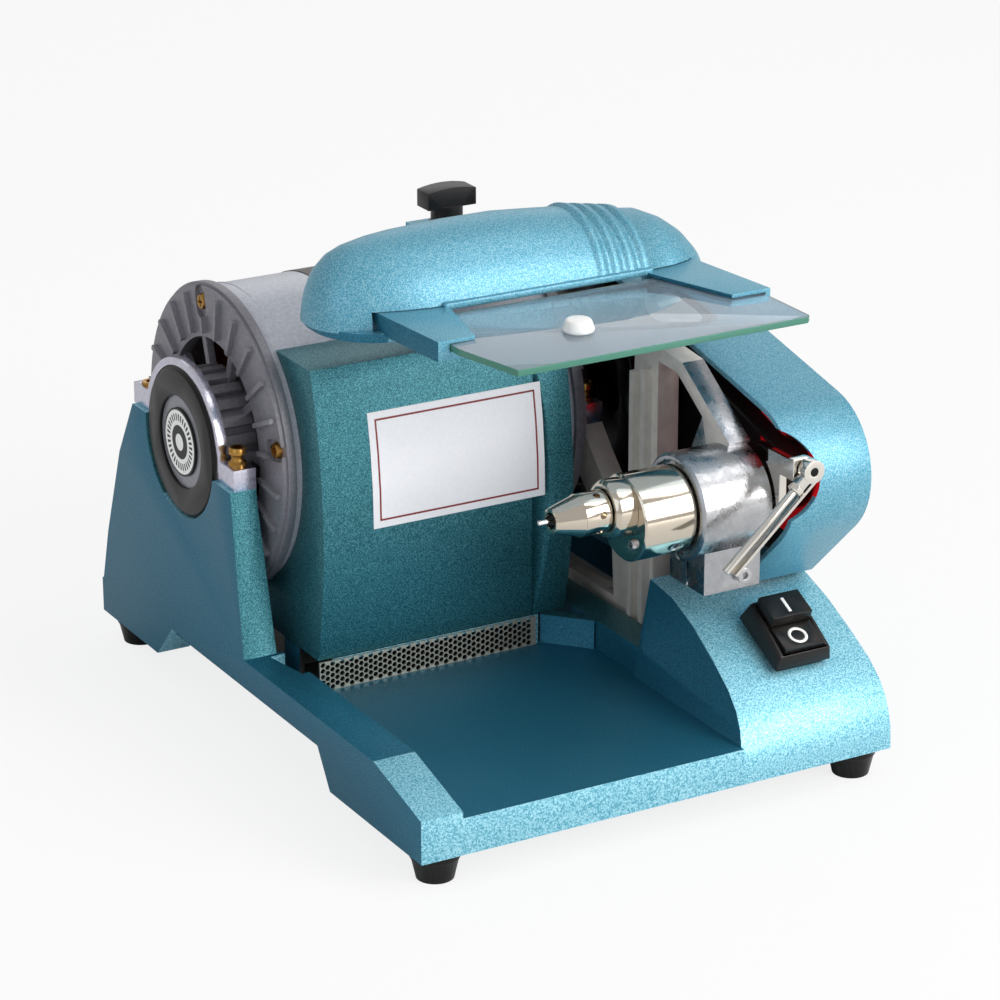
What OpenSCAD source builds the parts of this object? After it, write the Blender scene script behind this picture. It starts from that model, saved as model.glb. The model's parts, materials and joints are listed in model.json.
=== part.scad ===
// Bench collet lathe: belt-driven cutting and grinding spindle with
// tray, suction grille, lamp hood, glass screen and belt guard.
// X runs along motor and spindle, -Y is the operator side, Z is up. mm.

/* [Base casting] */
// Overall width of the base
base_w = 238; // [220:1:260]
// Overall depth of the base
base_d = 322; // [300:1:350]
// Level of the tray floor above the lower edge
floor_z = 17; // [14:0.5:22]
// Thickness of the cast floor plate
floor_t = 3.5; // [2.5:0.5:6]
// Wall thickness of the skirts
skirt_t = 4; // [3:0.5:8]
// Width of the left rail
rail_w = 20; // [14:1:26]
// Top level of the left rail
rail_z = 31; // [26:1:40]
// Depth of the open tray from front to grille
tray_d = 147; // [130:1:160]
// Left edge of the switch block at the floor
block_x = 160; // [150:1:162]
// Draft of the switch block side at full height
block_draft = 9; // [0:1:16]
// Top level of the switch block
block_z = 63; // [55:1:70]
// Depth of the switch block
block_d = 92; // [86:1:100]
// Height of the arch under the sides
arch_h = 18.5; // [8:0.5:20]
// Thickness of the motor pedestal
pedestal_t = 16.5; // [14:0.5:20]
// Height of the rubber feet
foot_h = 13; // [10:1:20]
// Top diameter of the rubber feet
foot_d = 22; // [18:1:28]

/* [Motor] */
// Distance of the motor axis behind the front edge
motor_y = 229; // [222:1:236]
// Height of the motor axis above the base edge
motor_z = 115.5; // [110:0.5:122]
// Step of the end bells over the motor shell
bell_lip = 2.5; // [1:0.5:5]
// Outer diameter of the motor shell
shell_d = 137; // [128:1:142]
// Diameter of the rubber ring on the hub
ring_d = 71; // [64:1:76]
// Outer diameter of the hub inside the ring
hub_d = 43; // [38:1:48]
// Diameter of the motor shaft
motor_shaft_d = 14; // [12:1:17]
// Outer diameter of the motor pulley
pulley_d = 136; // [124:1:144]

/* [Spindle] */
// Distance of the cartridge axis behind the front edge
spindle_y = 55; // [50:1:60]
// Height of the cartridge axis above the base edge
spindle_z = 112; // [108:0.5:116]
// Offset of the spindle axis above the cartridge axis
eccentric = 5.5; // [3:0.5:6]
// Diameter of the eccentric cartridge
cartridge_d = 39; // [36:0.5:42]
// Outer diameter of the clamp barrel
barrel_d = 48.5; // [46:0.5:54]
// Diameter of the nose collar
collar_d = 26.5; // [24:0.5:28]
// Diameter of the collet nut
nut_d = 19; // [17:0.5:21]
// Diameter of the shank held in the collet
shank_d = 2.35; // [1.6:0.05:3.2]
// Outer diameter of the spindle pulley
spindle_pulley_d = 33; // [28:1:36]
// Radial clearance of running and sliding fits
fit = 0.05; // [0.02:0.01:0.1]

/* [Hood and screen] */
// Width of the lamp hood
hood_w = 194; // [180:1:196]
// Depth of the lamp hood
hood_d = 64; // [58:1:66]
// Height of the lamp hood
hood_h = 36; // [28:1:38]
// Wall thickness of the hood
hood_t = 3; // [2:0.5:5]
// Level of the underside of the hood frame
hood_z = 192; // [192:1:200]
// Width of the glass screen
glass_w = 154; // [140:1:158]
// Depth of the glass screen
glass_d = 80; // [70:1:84]
// Thickness of the glass screen
glass_t = 3; // [2:0.5:4]

/* [Belt guard] */
// Width of the belt guard
guard_w = 40; // [36:1:40]
// Wall thickness of the belt guard
guard_t = 2.5; // [1.5:0.5:4]
// Nose radius of the belt guard
nose_r = 34; // [30:1:38]

/* [Hidden] */
$fn = 64;
eps = 0.01;
base_mid = base_d / 2;
foot_x = 13;
foot_y = 12;
foot_tip_d = foot_d * 0.75;
deck_z = floor_z;
guard_x = base_w - guard_w;
bell_d = shell_d + 2 * bell_lip;
bell_t = 6;
bell_x = pedestal_t + 2;
bell_x2 = guard_x - 29.5;
shell_x = bell_x + bell_t;
shell_l = bell_x2 - shell_x;
motor_mid = shell_x + shell_l / 2;
shield_x = 28;
shield_w = 128;
shield_t = 2.5;
shield_r = 260;
shield_y = 140;
shield_top = 168;
shield_mid_z = 94;
mesh_t = 1;
mesh_h = 14;
mesh_l = 112;
bracket_x = guard_x - 16;
bracket_t = 11;
leg_y = 114;
leg_w = 16;
leg_top = 168;
barrel_x = bracket_x - 24;
barrel_l = 34;
axis_z = spindle_z + eccentric;
nose_x = barrel_x - 64;
collar_x = barrel_x - 38;
cart_x = barrel_x - 27;
spulley_x = guard_x + 2;
spulley_l = 19;
mpulley_x = guard_x + 3;
mpulley_l = 17;
belt_x = guard_x + 7;
belt_l = 9;
belt_t = 1.6;
guard_r = pulley_d / 2 + 6;
ear_z1 = motor_z - 7.5;
ear_z2 = motor_z + 3.5;
ear_t = 10;
hoop_w = 4.5;
nose_y = 56;
nose_z = 120;
lever_x = guard_x + 2;
lever_y = 11;
lever_z = 134.5;
lever_ang = 42;
hood_x = 27;
hood_y = 114;
arm_t = 9;
lip_z = hood_z + 8;
arm_end_y = 74;
glass_z = hood_z + 3;
glass_x = 56;
glass_y = 31;
post_x = 136;
post_y = 222;
tab_z = 196;
tab_t = 4;
gland_z = 6.3;
hood_r = 30;
rib_x = 160;
switch_x = base_w - 35;
switch_y = 35;
switch_z = 47.2;
switch_w = 29.4;
switch_l = 34;
key_w = 20.6;
key_l = 13.9;
slope_ang = 26;

module place() {
  translate([-base_w / 2, -base_mid, foot_h]) children();
}

// extrudes a YZ profile along +X starting at x
module along_x(x, l) {
  translate([x, 0, 0]) rotate([90, 0, 90]) linear_extrude(l) children();
}

// extrudes an XZ profile along +Y starting at y
module along_y(y, l) {
  translate([0, y + l, 0]) rotate([90, 0, 0]) linear_extrude(l) children();
}

// rod or ring along X
module rod_x(x, l, y, z, d, d2 = 0) {
  translate([x, y, z]) rotate([0, 90, 0]) cylinder(h = l, d1 = d, d2 = d2 > 0 ? d2 : d);
}

module rod_y(x, y, z, l, d) {
  translate([x, y + l, z]) rotate([90, 0, 0]) cylinder(h = l, d = d);
}

module tube_x(x, l, y, z, d, bore) {
  difference() {
    rod_x(x, l, y, z, d);
    rod_x(x - 1, l + 2, y, z, bore);
  }
}

// socket head screw along -Z from z downwards, head above z
module socket_screw(d, head, l) {
  difference() {
    cylinder(h = d * 0.9, d = head);
    translate([0, 0, d * 0.4]) cylinder(h = d, d = d * 0.9, $fn = 6);
  }
  translate([0, 0, -l]) cylinder(h = l, d = d);
}

// pan head screw with a cross recess
module pan_screw(d, l) {
  difference() {
    cylinder(h = d * 0.6, d1 = d * 2, d2 = d * 1.6);
    translate([0, 0, d * 0.45]) cube([d * 1.2, d * 0.25, d * 0.5], center = true);
    translate([0, 0, d * 0.45]) cube([d * 0.25, d * 1.2, d * 0.5], center = true);
  }
  translate([0, 0, -l]) cylinder(h = l, d = d);
}

// ---- base ----
function arc_pts(cy, cz, r, a0, a1, n) =
  [for (i = [0:n]) [cy + r * cos(a0 + (a1 - a0) * i / n), cz + r * sin(a0 + (a1 - a0) * i / n)]];

module side_profile() {
  polygon([[0, 0], [0, floor_z + 3], [4, floor_z + 4], [42, rail_z],
    [base_d - 24, rail_z], [base_d - 6, 20], [base_d, 12], [base_d, 0], [base_d - 62, 0],
    [base_d - 79, arch_h], [95, arch_h], [83, 0]]);
}

module block_profile() {
  polygon(concat([[0, 0]],
    [[0.6, 10], [2.5, 17], [5.5, 23.5], [10.5, 30], [19, 36.8], [34, 45], [53, 54],
     [72, block_z - 2.5], [block_d, block_z], [block_d, 0]]));
}

module block_section(inset) {
  polygon([[block_x + inset, 0], [block_x + inset, floor_z],
    [block_x + inset + block_draft, block_z + 5],
    [base_w - inset, block_z + 5], [base_w - inset, 0]]);
}

module pedestal_profile() {
  difference() {
    polygon([[166, rail_z - 2], [motor_y - 53, ear_z1], [motor_y - 29, ear_z1],
      [motor_y + 29, ear_z2], [motor_y + 50, ear_z2],
      [base_d - 26, 90], [base_d - 9, 44], [base_d, 12], [base_d, 0],
      [base_d - 62, 0], [base_d - 79, arch_h], [166, arch_h]]);
    translate([motor_y, motor_z]) circle(d = ring_d);
  }
}

module floor_plate() {
  difference() {
    translate([skirt_t, skirt_t, floor_z - floor_t])
      cube([base_w - 2 * skirt_t, base_d - 2 * skirt_t, floor_t]);
    translate([switch_x - 14, 12, 0]) cube([36, 74, 60]);
  }
}

module base_casting() {
  color("teal") place() difference() {
    union() {
      floor_plate();
      // left side wall with its arch, rail on top
      along_x(0, skirt_t) side_profile();
      intersection() {
        along_x(0, rail_w) side_profile();
        translate([-1, 0, floor_z - floor_t]) cube([rail_w + 1, 167, 60]);
      }
      intersection() {
        along_x(0, pedestal_t) pedestal_profile();
        along_y(-1, base_d + 2) polygon([[-1, -1], [pedestal_t + 1, -1], [pedestal_t + 1, rail_z],
          [pedestal_t - eps, rail_z], [pedestal_t - 3.5, ear_z1 - 8], [pedestal_t - 3.5, ear_z2 + 20],
          [-1, ear_z2 + 20]]);
      }
      // front, rear and right skirts
      cube([block_x, skirt_t, floor_z]);
      translate([0, base_d - skirt_t, 0]) cube([base_w, skirt_t, floor_z]);
      intersection() {
        along_x(base_w - skirt_t, skirt_t) side_profile();
        translate([0, block_d - 10, 0]) cube([base_w, base_d, floor_z]);
      }
      // switch block, hollow underneath
      difference() {
        intersection() {
          along_x(block_x, base_w - block_x) block_profile();
          along_y(0, block_d) block_section(0);
        }
        intersection() {
          translate([0, skirt_t, -skirt_t]) along_x(block_x, base_w - block_x) block_profile();
          along_y(skirt_t, block_d - 2 * skirt_t) block_section(skirt_t);
        }
      }
      // right rear wall that the belt guard stands on
      translate([base_w - skirt_t, block_d - skirt_t, floor_z - floor_t])
        cube([skirt_t, motor_y + guard_r - block_d + skirt_t, block_z - floor_z + floor_t]);
      translate([guard_x + 1, motor_y + guard_r - skirt_t, floor_z - floor_t])
        cube([guard_w - 1, skirt_t, block_z - floor_z + floor_t]);
      // raised deck beside the foot of the head bracket
      translate([block_x + 2, block_d - skirt_t, floor_z - 1])
        cube([bracket_x - 4.5 - block_x - 2, 100, rail_z - floor_z + 1]);
      // lugs for the guard screws
      for (y = guard_ys()) translate([base_w - guard_t - 6, y - 7, block_z - 6]) cube([6, 14, 19]);
      // bosses that carry the feet
      foot_bosses();
      // slanted wall closing the rear corner of the tray
      translate([0, 0, floor_z - floor_t]) linear_extrude(rail_z - floor_z + floor_t)
        polygon([[block_x - 17, tray_d + 0.4], [block_x + 0.6, tray_d - 19], [block_x + 4, tray_d - 16],
          [block_x - 11, tray_d + 3.5]]);
      bracket_pad();
      shield_ledge();
    }
    for (x = shield_tabs()) rod_y(x, tray_d + 1, rail_z + 5.5, 8, 3.2);
    for (p = foot_points()) translate([p[0], p[1], -1]) cylinder(h = floor_z - 4, d = 4.2);
    switch_cutout();
    gland_hole();
    for (y = guard_ys()) rod_x(base_w - guard_t - 8, guard_t + 9, y, block_z + 8, 4.4);
    strap_holes(7.5);
    rail_notch();
    for (y = bolt_ys()) translate([bracket_x + bracket_t / 2, y, -1]) cylinder(h = 60, d = 5.2);
  }
}

function foot_points() = [[foot_x, foot_y], [base_w - foot_x, foot_y],
  [foot_x, base_d - foot_y - 2], [base_w - foot_x, base_d - foot_y - 2]];
function bolt_ys() = [leg_y + 5, leg_y + 40, motor_y + 30];

module foot_bosses() {
  for (p = foot_points()) translate([p[0], p[1], 0]) cylinder(h = floor_z - eps, d = foot_d - 3);
}

module rail_notch() {
  // rail narrows towards the pedestal
  translate([rail_w - 4, 140, floor_z]) rotate([0, 0, 9]) cube([20, 24, rail_z - floor_z + 1]);
}

module bracket_pad() {
  translate([bracket_x - 4, leg_y - 6, deck_z - eps])
    cube([bracket_t + 8, motor_y + 46 - leg_y + 6, 6]);
}

module shield_ledge() {
  // closed suction duct behind the grille, with two tabs that hold the shield
  translate([shield_x, tray_d + 0.4, floor_z - 1]) difference() {
    cube([mesh_l + 2, 34, mesh_h + 1.4]);
    translate([2.5, -1, 0]) cube([mesh_l - 3, 32, mesh_h - 0.6]);
  }
  for (x = shield_tabs()) translate([x - 7, tray_d + 3.2, rail_z - 2]) cube([14, 3, 12]);
}

function shield_tabs() = [shield_x + 30, shield_x + 90];

module gland_hole() {
  translate([60, base_d - skirt_t - 1, gland_z]) rotate([-90, 0, 0])
    cylinder(h = skirt_t + 2, d = 10.2);
}

function strap_points() = [[motor_y - 46, ear_z1 + ear_t], [motor_y + 45, ear_z2 + ear_t]];

module strap_holes(x) {
  for (p = strap_points()) translate([x, p[0], p[1] - 26]) cylinder(h = 60, d = 5);
}

module switch_frame() {
  // local frame of the switch on the sloping block top
  translate([switch_x, switch_y, switch_z]) rotate([slope_ang, 0, 0]) children();
}

module switch_cutout() {
  switch_frame() translate([-key_w / 2 - 1.6, -key_l - 1.2, -20])
    cube([key_w + 3.2, 2 * key_l + 2.4, 32]);
}

module base_feet() {
  color("black") place() for (p = foot_points()) translate([p[0], p[1], -foot_h]) difference() {
    union() {
      cylinder(h = foot_h - 3, d1 = foot_tip_d, d2 = foot_d - 1);
      translate([0, 0, foot_h - 3]) cylinder(h = 3, d = foot_d);
    }
    translate([0, 0, -1]) cylinder(h = foot_h + 2, d = 4.4);
    translate([0, 0, -1]) cylinder(h = 6, d = 10);
  }
}

module foot_screws() {
  color("silver") place() for (p = foot_points())
    translate([p[0], p[1], 5 - foot_h]) mirror([0, 0, 1]) pan_screw(4, foot_h + 4);
}

module suction_mesh() {
  // staggered columns of round holes
  pitch = 2.7;
  cols = floor((mesh_l - 2) / (pitch * 0.866));
  color("beige") place() translate([shield_x, tray_d, floor_z + 0.1]) rotate([90, 0, 0])
    linear_extrude(mesh_t) difference() {
      square([mesh_l, mesh_h]);
      for (i = [0:cols - 1]) for (j = [0:4 - i % 2])
        translate([1.9 + i * pitch * 0.866, 1.6 + (j + (i % 2) / 2) * pitch]) circle(d = 2.15, $fn = 16);
    }
}

// ---- shield ----
module shield_side() {
  // flat cheek reaching back around the motor
  difference() {
    intersection() {
      translate([shield_y + shield_r, shield_mid_z]) circle(r = shield_r, $fn = 256);
      translate([shield_y - 20, rail_z + 0.7]) square([85, shield_top - rail_z - 0.7]);
    }
    translate([motor_y, motor_z]) circle(d = shell_d + 1.2);
  }
}

module shield_plan(t) {
  // plan view with the slanted right front corner
  polygon([[shield_x + t, shield_y - 30 + t], [shield_x + t, 300], [shield_x + shield_w - t, 300],
    [shield_x + shield_w - t, shield_y - 16 + t * 2.4],
      [shield_x + shield_w - 17 - t, shield_y + 8 + t * 2.4],
    [shield_x + shield_w - 40, shield_y - 30 + t]]);
}

module shield_body(t) {
  intersection() {
    along_x(shield_x, shield_w) shield_side();
    translate([0, 0, -1]) linear_extrude(300) shield_plan(0);
  }
}

module motor_shield() {
  color("teal") place() difference() {
    shield_body(0);
    // hollow inside, open at the back and bottom
    intersection() {
      along_x(shield_x + shield_t, shield_w - 2 * shield_t)
        intersection() {
          translate([shield_y + shield_r, shield_mid_z]) circle(r = shield_r - shield_t, $fn = 256);
          translate([shield_y - 20, -1]) square([200, shield_top - shield_t + 1]);
        }
      translate([0, 0, -1]) linear_extrude(300) shield_plan(shield_t);
    }
    rod_x(0, 300, motor_y, motor_z, shell_d + 1.2);
    for (x = shield_tabs()) rod_y(x, shield_y + 7.2, rail_z + 5.5, 30, 3);
  }
}

module warning_sticker() {
  color("white") place() along_x(shield_x + 25, 88) intersection() {
    difference() {
      translate([shield_y + shield_r, shield_mid_z]) circle(r = shield_r + 0.27, $fn = 256);
      translate([shield_y + shield_r, shield_mid_z]) circle(r = shield_r + 0.02, $fn = 256);
    }
    translate([shield_y - 20, shield_mid_z - 1]) square([40, 53]);
  }
}

module shield_screws() {
  color("silver") place() for (x = shield_tabs())
    translate([x, tray_d + 6.2, rail_z + 5.5]) rotate([-90, 0, 0]) pan_screw(3, 4.6);
}

// ---- motor ----
module motor_shell() {
  color("lightgray") place() difference() {
    union() {
      rod_x(shell_x, shell_l, motor_y, motor_z, shell_d);
      // seam strip at the back
      translate([shell_x + 8, motor_y + shell_d / 2 - 3, motor_z - 8]) cube([shell_l - 16, 4, 16]);
    }
    rod_x(shell_x - 1, shell_l + 2, motor_y, motor_z, shell_d - 6);
    translate([post_x, post_y, motor_z]) cylinder(h = 90, d = 5.2);
  }
}

module motor_nameplate() {
  color("black") place() along_x(68, 34) intersection() {
    difference() {
      translate([motor_y, motor_z]) circle(d = shell_d + 0.8, $fn = 128);
      translate([motor_y, motor_z]) circle(d = shell_d + 0.08, $fn = 128);
    }
    translate([motor_y - 6, motor_z]) square([36, 100]);
  }
}

module bell_fins(d_in, d_out) {
  n = 24;
  for (i = [0:n - 1])
    rotate([0, 0, i * 360 / n + 7]) translate([d_in / 2, -1.1, 0]) cube([(d_out - d_in) / 2, 2.2, 3.2]);
}

module bell_disc() {
  // local frame: axis Z, outer face at z = 0, body towards +Z
  win_d = 92;
  hub_r = hub_d / 2;
  difference() {
    union() {
      translate([0, 0, 2]) cylinder(h = bell_t - 2, d = bell_d);
      cylinder(h = 2 + eps, d = bell_d - 3);
      translate([0, 0, bell_t]) cylinder(h = 6, d = shell_d - 6.2);
    }
    translate([0, 0, -1]) cylinder(h = 20, d = win_d);
    translate([0, 0, bell_t]) cylinder(h = 20, d = shell_d - 12);
    for (i = [0:3]) rotate([0, 0, i * 90 + 79]) translate([bell_d / 2 - 9, 0, -1]) {
      for (u = [-3, 3]) translate([u, 0, 0]) cylinder(h = 3.2, d = 10);
      translate([-3, -5, 0]) cube([6, 10, 3.2]);
      cylinder(h = 20, d = 4.4);
    }
  }
  for (i = [0:9]) rotate([0, 0, i * 36 + 18])
    translate([hub_r + 6, -2, 2.2]) cube([win_d / 2 - hub_r - 4, 4, 3.4]);
  difference() {
    translate([0, 0, -2.4]) bell_fins(win_d + 4, bell_d - 8);
    for (i = [0:3]) rotate([0, 0, i * 90 + 79]) translate([bell_d / 2 - 9, 0, -6]) cylinder(h = 8, d = 15);
  }
}

module bell_hub(len) {
  // hub tube towards -Z that carries the rubber ring and the bearing
  difference() {
    union() {
      translate([0, 0, -len]) cylinder(h = len + 6, d = hub_d);
      translate([0, 0, hoop_w + 2.3 - bell_x]) cylinder(h = bell_x + 12 - hoop_w, d = ring_d - 11);
      for (i = [0:23]) rotate([0, 0, i * 15]) translate([ring_d / 2 - 7, -2.4, hoop_w + 2.7 - bell_x])
        cube([4.4, 4.8, bell_x + 2.5 - hoop_w]);
    }
    translate([0, 0, -len - 1]) cylinder(h = len + 40, d = motor_shaft_d + 3);
    translate([0, 0, 4]) cylinder(h = 20, d = 35);
  }
}

module left_end_bell() {
  color("dimgray") place() translate([bell_x, motor_y, motor_z]) rotate([0, 90, 0]) {
    bell_disc();
    bell_hub(bell_x - 2);
  }
}

module right_end_bell() {
  color("dimgray") place() translate([bell_x2 + bell_t, motor_y, motor_z]) rotate([0, -90, 0]) {
    bell_disc();
    bell_hub(bracket_x + bracket_t - bell_x2 - bell_t);
  }
}

module bell_screws() {
  color("goldenrod") place() for (s = [0, 1])
    translate([s == 0 ? bell_x : bell_x2 + bell_t, motor_y, motor_z]) rotate([0, s == 0 ? 90 : -90, 0])
      for (i = [0:3]) rotate([0, 0, i * 90 + 79]) translate([bell_d / 2 - 9, 0, 2.2])
        mirror([0, 0, 1]) pan_screw(4, 8);
}

module stator_core() {
  color("gray") place() difference() {
    rod_x(motor_mid - 34, 68, motor_y, motor_z, shell_d - 6.3);
    rod_x(motor_mid - 35, 70, motor_y, motor_z, 78);
  }
}

module stator_windings() {
  color("orange") place() for (x = [motor_mid - 52.5, motor_mid + 34.5]) difference() {
    rod_x(x, 18, motor_y, motor_z, 118);
    rod_x(x - 1, 20, motor_y, motor_z, 84);
  }
}

module rotor_core() {
  color("silver") place() tube_x(motor_mid - 37, 74, motor_y, motor_z, 77, motor_shaft_d);
}

module motor_shaft() {
  x0 = 8;
  color("silver") place() union() {
    rod_x(x0, mpulley_x + mpulley_l + 2 - x0, motor_y, motor_z, motor_shaft_d);
    rod_x(mpulley_x + mpulley_l + 2, 1.2, motor_y, motor_z, motor_shaft_d, motor_shaft_d - 2.4);
  }
}

module motor_bearings() {
  color("silver") place() for (x = [bell_x + 4.5, bell_x2 + bell_t - 15.5]) {
    tube_x(x, 11, motor_y, motor_z, 35, 29);
    tube_x(x, 11, motor_y, motor_z, 20, motor_shaft_d + 2 * fit);
    tube_x(x + 1, 9, motor_y, motor_z, 29, 20);
  }
}

module rubber_rings() {
  color("black") place() {
    difference() {
      union() {
        tube_x(2, hoop_w, motor_y, motor_z, ring_d - 0.2, hub_d + 0.2);
        tube_x(0.6, 1.4, motor_y, motor_z, ring_d - 3, hub_d + 0.2);
      }
    }
    tube_x(bracket_x + bracket_t - hoop_w, hoop_w, motor_y, motor_z, ring_d - 0.2, hub_d + 0.2);
  }
}

module hub_emblem() {
  color("white") place() rod_x(0.6, 1.4, motor_y, motor_z, 32);
}

module strap_ring(x, w) {
  // half hoop with two thick ears, parted from the cradle below
  difference() {
    union() {
      rod_x(x, hoop_w, motor_y, motor_z, ring_d + 7);
      translate([x, motor_y - 53, ear_z1]) cube([w, 24, ear_t]);
      translate([x, motor_y + 30, ear_z2]) cube([w, 22, ear_t]);
    }
    rod_x(x - 1, w + 2, motor_y, motor_z, ring_d);
    translate([x - 1, motor_y - 80, 0]) cube([w + 2, 80, ear_z1]);
    translate([x - 1, motor_y - eps, 0]) cube([w + 2, 80, ear_z2]);
    for (p = strap_points()) translate([x + w / 2, p[0], p[1] - 40]) cylinder(h = 60, d = 5.4);
  }
}

module cradle_straps() {
  color("silver") place() {
    strap_ring(2, 11);
    translate([2 * bracket_x + bracket_t, 0, 0]) mirror([1, 0, 0]) strap_ring(bracket_x, 11);
  }
}

module strap_screws() {
  color("goldenrod") place() for (x = [2, bracket_x])
    for (p = strap_points()) translate([x + 5.5, p[0], p[1]]) {
      difference() {
        cylinder(h = 9, d = 9);
        translate([0, 0, 5]) cylinder(h = 5, d = 5, $fn = 6);
      }
      translate([0, 0, -24]) cylinder(h = 24, d = 5);
    }
}

module motor_pulley() {
  color("dimgray") place() difference() {
    union() {
      tube_x(mpulley_x, mpulley_l, motor_y, motor_z, pulley_d, motor_shaft_d + 0);
    }
    // crowned rim between two low flanges
    difference() {
      rod_x(belt_x - 0.5, belt_l + 1, motor_y, motor_z, pulley_d + 2);
      rod_x(belt_x - 1, belt_l + 2, motor_y, motor_z, pulley_d - 4);
    }
    // dished faces
    for (x = [mpulley_x - 1, mpulley_x + mpulley_l - 4]) tube_x(x, 5, motor_y, motor_z, pulley_d - 26, 40);
    for (i = [0:5]) rotate_about_motor(i * 60)
      rod_x(mpulley_x - 1, mpulley_l + 2, motor_y + pulley_d * 0.28, motor_z, 20);
  }
}

module rotate_about_motor(a) {
  translate([0, motor_y, motor_z]) rotate([a, 0, 0]) translate([0, -motor_y, -motor_z]) children();
}

// closed loop round the two pulleys, r_m and r_s are the loop radii
module belt_loop(r_m, r_s) {
  c = sqrt(pow(motor_y - spindle_y, 2) + pow(motor_z - axis_z, 2));
  a = acos((r_m - r_s) / c);
  tilt = atan2(motor_z - axis_z, motor_y - spindle_y);
  translate([motor_y, motor_z]) rotate(tilt + 180) polygon(concat(
    [for (i = [0:40]) let (t = a + (360 - 2 * a) * i / 40) [r_m * cos(t), r_m * sin(t)]],
    [for (i = [0:16]) let (t = -a + 2 * a * i / 16) [c + r_s * cos(t), r_s * sin(t)]]));
}

module drive_belt() {
  color("black") place() along_x(belt_x, belt_l) difference() {
    belt_loop(pulley_d / 2 - 2 + 0.4 + belt_t, spindle_pulley_d / 2 - 2 + 0.4 + belt_t);
    belt_loop(pulley_d / 2 - 2 + 0.4, spindle_pulley_d / 2 - 2 + 0.4);
  }
}

// ---- head bracket ----
module bracket_section() {
  difference() {
    union() {
      // front leg, tapered
      polygon([[leg_y - 2, deck_z + 6], [leg_y + leg_w + 4, deck_z + 6], [leg_y + leg_w, leg_top - 10],
        [leg_y + leg_w - 5, leg_top - 2], [leg_y + leg_w - 12, leg_top], [leg_y + 2, leg_top - 3],
          [leg_y - 2, leg_top - 12]]);
      // strut and arms to the barrel
      polygon([[leg_y + 8, leg_top - 1], [leg_y - 24, leg_top - 4], [spindle_y - 4, 138],
        [spindle_y + 8, spindle_z],
        [spindle_y + 22, spindle_z - 20], [leg_y + 2, spindle_z - 36]]);
      // cradle for the rear ring
      polygon([[leg_y + 10, deck_z + 6], [leg_y + 14, 60], [motor_y - 62, 98], [motor_y - 53, ear_z1],
        [motor_y - 29, ear_z1], [motor_y + 29, ear_z2], [motor_y + 53, ear_z2],
          [motor_y + 46, deck_z + 6]]);
    }
    // window between leg and strut
    polygon([[leg_y - 4, leg_top - 9], [leg_y - 20, leg_top - 10], [spindle_y + 18, spindle_z + 32],
      [spindle_y + 27, spindle_z + 14], [spindle_y + 30, spindle_z - 2], [spindle_y + 27, spindle_z - 9],
      [leg_y - 4, spindle_z - 26]]);
    polygon([[leg_y + 32, deck_z + 16], [leg_y + 34, 56], [motor_y - 50, 84], [motor_y - 8, 72],
      [motor_y - 8, deck_z + 16]]);
    translate([motor_y, motor_z]) circle(d = ring_d);
  }
}

module head_bracket() {
  color("gainsboro") place() difference() {
    union() {
      along_x(bracket_x, bracket_t) bracket_section();
      rod_x(barrel_x, barrel_l, spindle_y, spindle_z, barrel_d);
      rod_x(barrel_x - 1.2, 1.2 + eps, spindle_y, spindle_z, barrel_d - 3, barrel_d);
      // ribs down the leg
      translate([bracket_x - 4, leg_y + 1, deck_z + 6]) cube([5, 3, leg_top - deck_z - 20]);
      translate([bracket_x - 4, leg_y + leg_w - 5, deck_z + 6]) cube([5, 3, leg_top - deck_z - 24]);
      // split clamp lugs
      translate([barrel_x + 4, spindle_y - 17, spindle_z - 37]) cube([barrel_l - 5, 28, 22]);
    }
    rod_x(barrel_x - 4, barrel_l + 10, spindle_y, spindle_z, cartridge_d);
    translate([barrel_x - 4, spindle_y - 4, spindle_z - 40]) cube([barrel_l + 8, 1.6, 30]);
    rod_y(barrel_x + 23, spindle_y - 20, spindle_z - 30, 50, 4.4);
    for (y = bolt_ys()) translate([bracket_x + bracket_t / 2, y, 0]) cylinder(h = 34, d = 5);
    strap_holes(bracket_x + 5.5);
    // dished recess around the clamp bore at the front face
    rod_x(barrel_x - 2, 2.6, spindle_y, spindle_z, cartridge_d + 3);
    rod_x(bracket_x + bracket_t - 3, 10, lever_arm_y(), lever_arm_z(), 4);
  }
}

function lever_arm_y() = spindle_y - 22;
function lever_arm_z() = spindle_z + 3;

module bracket_bolts() {
  color("silver") place() for (y = bolt_ys())
    translate([bracket_x + bracket_t / 2, y, deck_z - floor_t]) mirror([0, 0, 1]) socket_screw(5, 8.5, 19);
}

// ---- spindle ----
module spindle_cartridge() {
  color("silver") place() difference() {
    union() {
      rod_x(cart_x, barrel_x + barrel_l - cart_x, spindle_y, spindle_z, cartridge_d);
      rod_x(cart_x - 0.8, 0.8 + eps, spindle_y, spindle_z, cartridge_d - 1.6, cartridge_d);
    }
    rod_x(cart_x - 4, barrel_l + 80, spindle_y, axis_z, 19);
    rod_x(cart_x + 3, barrel_x + barrel_l - cart_x - 5, spindle_y, axis_z, 22);
    translate([barrel_x - 10, spindle_y, spindle_z]) rotate([126, 0, 0]) cylinder(h = 30, d = 5.6);
    translate([cart_x - 2, spindle_y - 9.2, spindle_z - 9.2]) rotate([0, 90, 0]) cylinder(h = 9, d = 2.6);
  }
}

module nose_collar() {
  color("silver") place() difference() {
    union() {
      rod_x(collar_x + 2, cart_x - 0.8 - collar_x - 2, spindle_y, axis_z, collar_d);
      rod_x(collar_x, 2 + eps, spindle_y, axis_z, collar_d - 3, collar_d);
    }
    rod_x(collar_x - 1, 40, spindle_y, axis_z, 19);
  }
}

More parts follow.
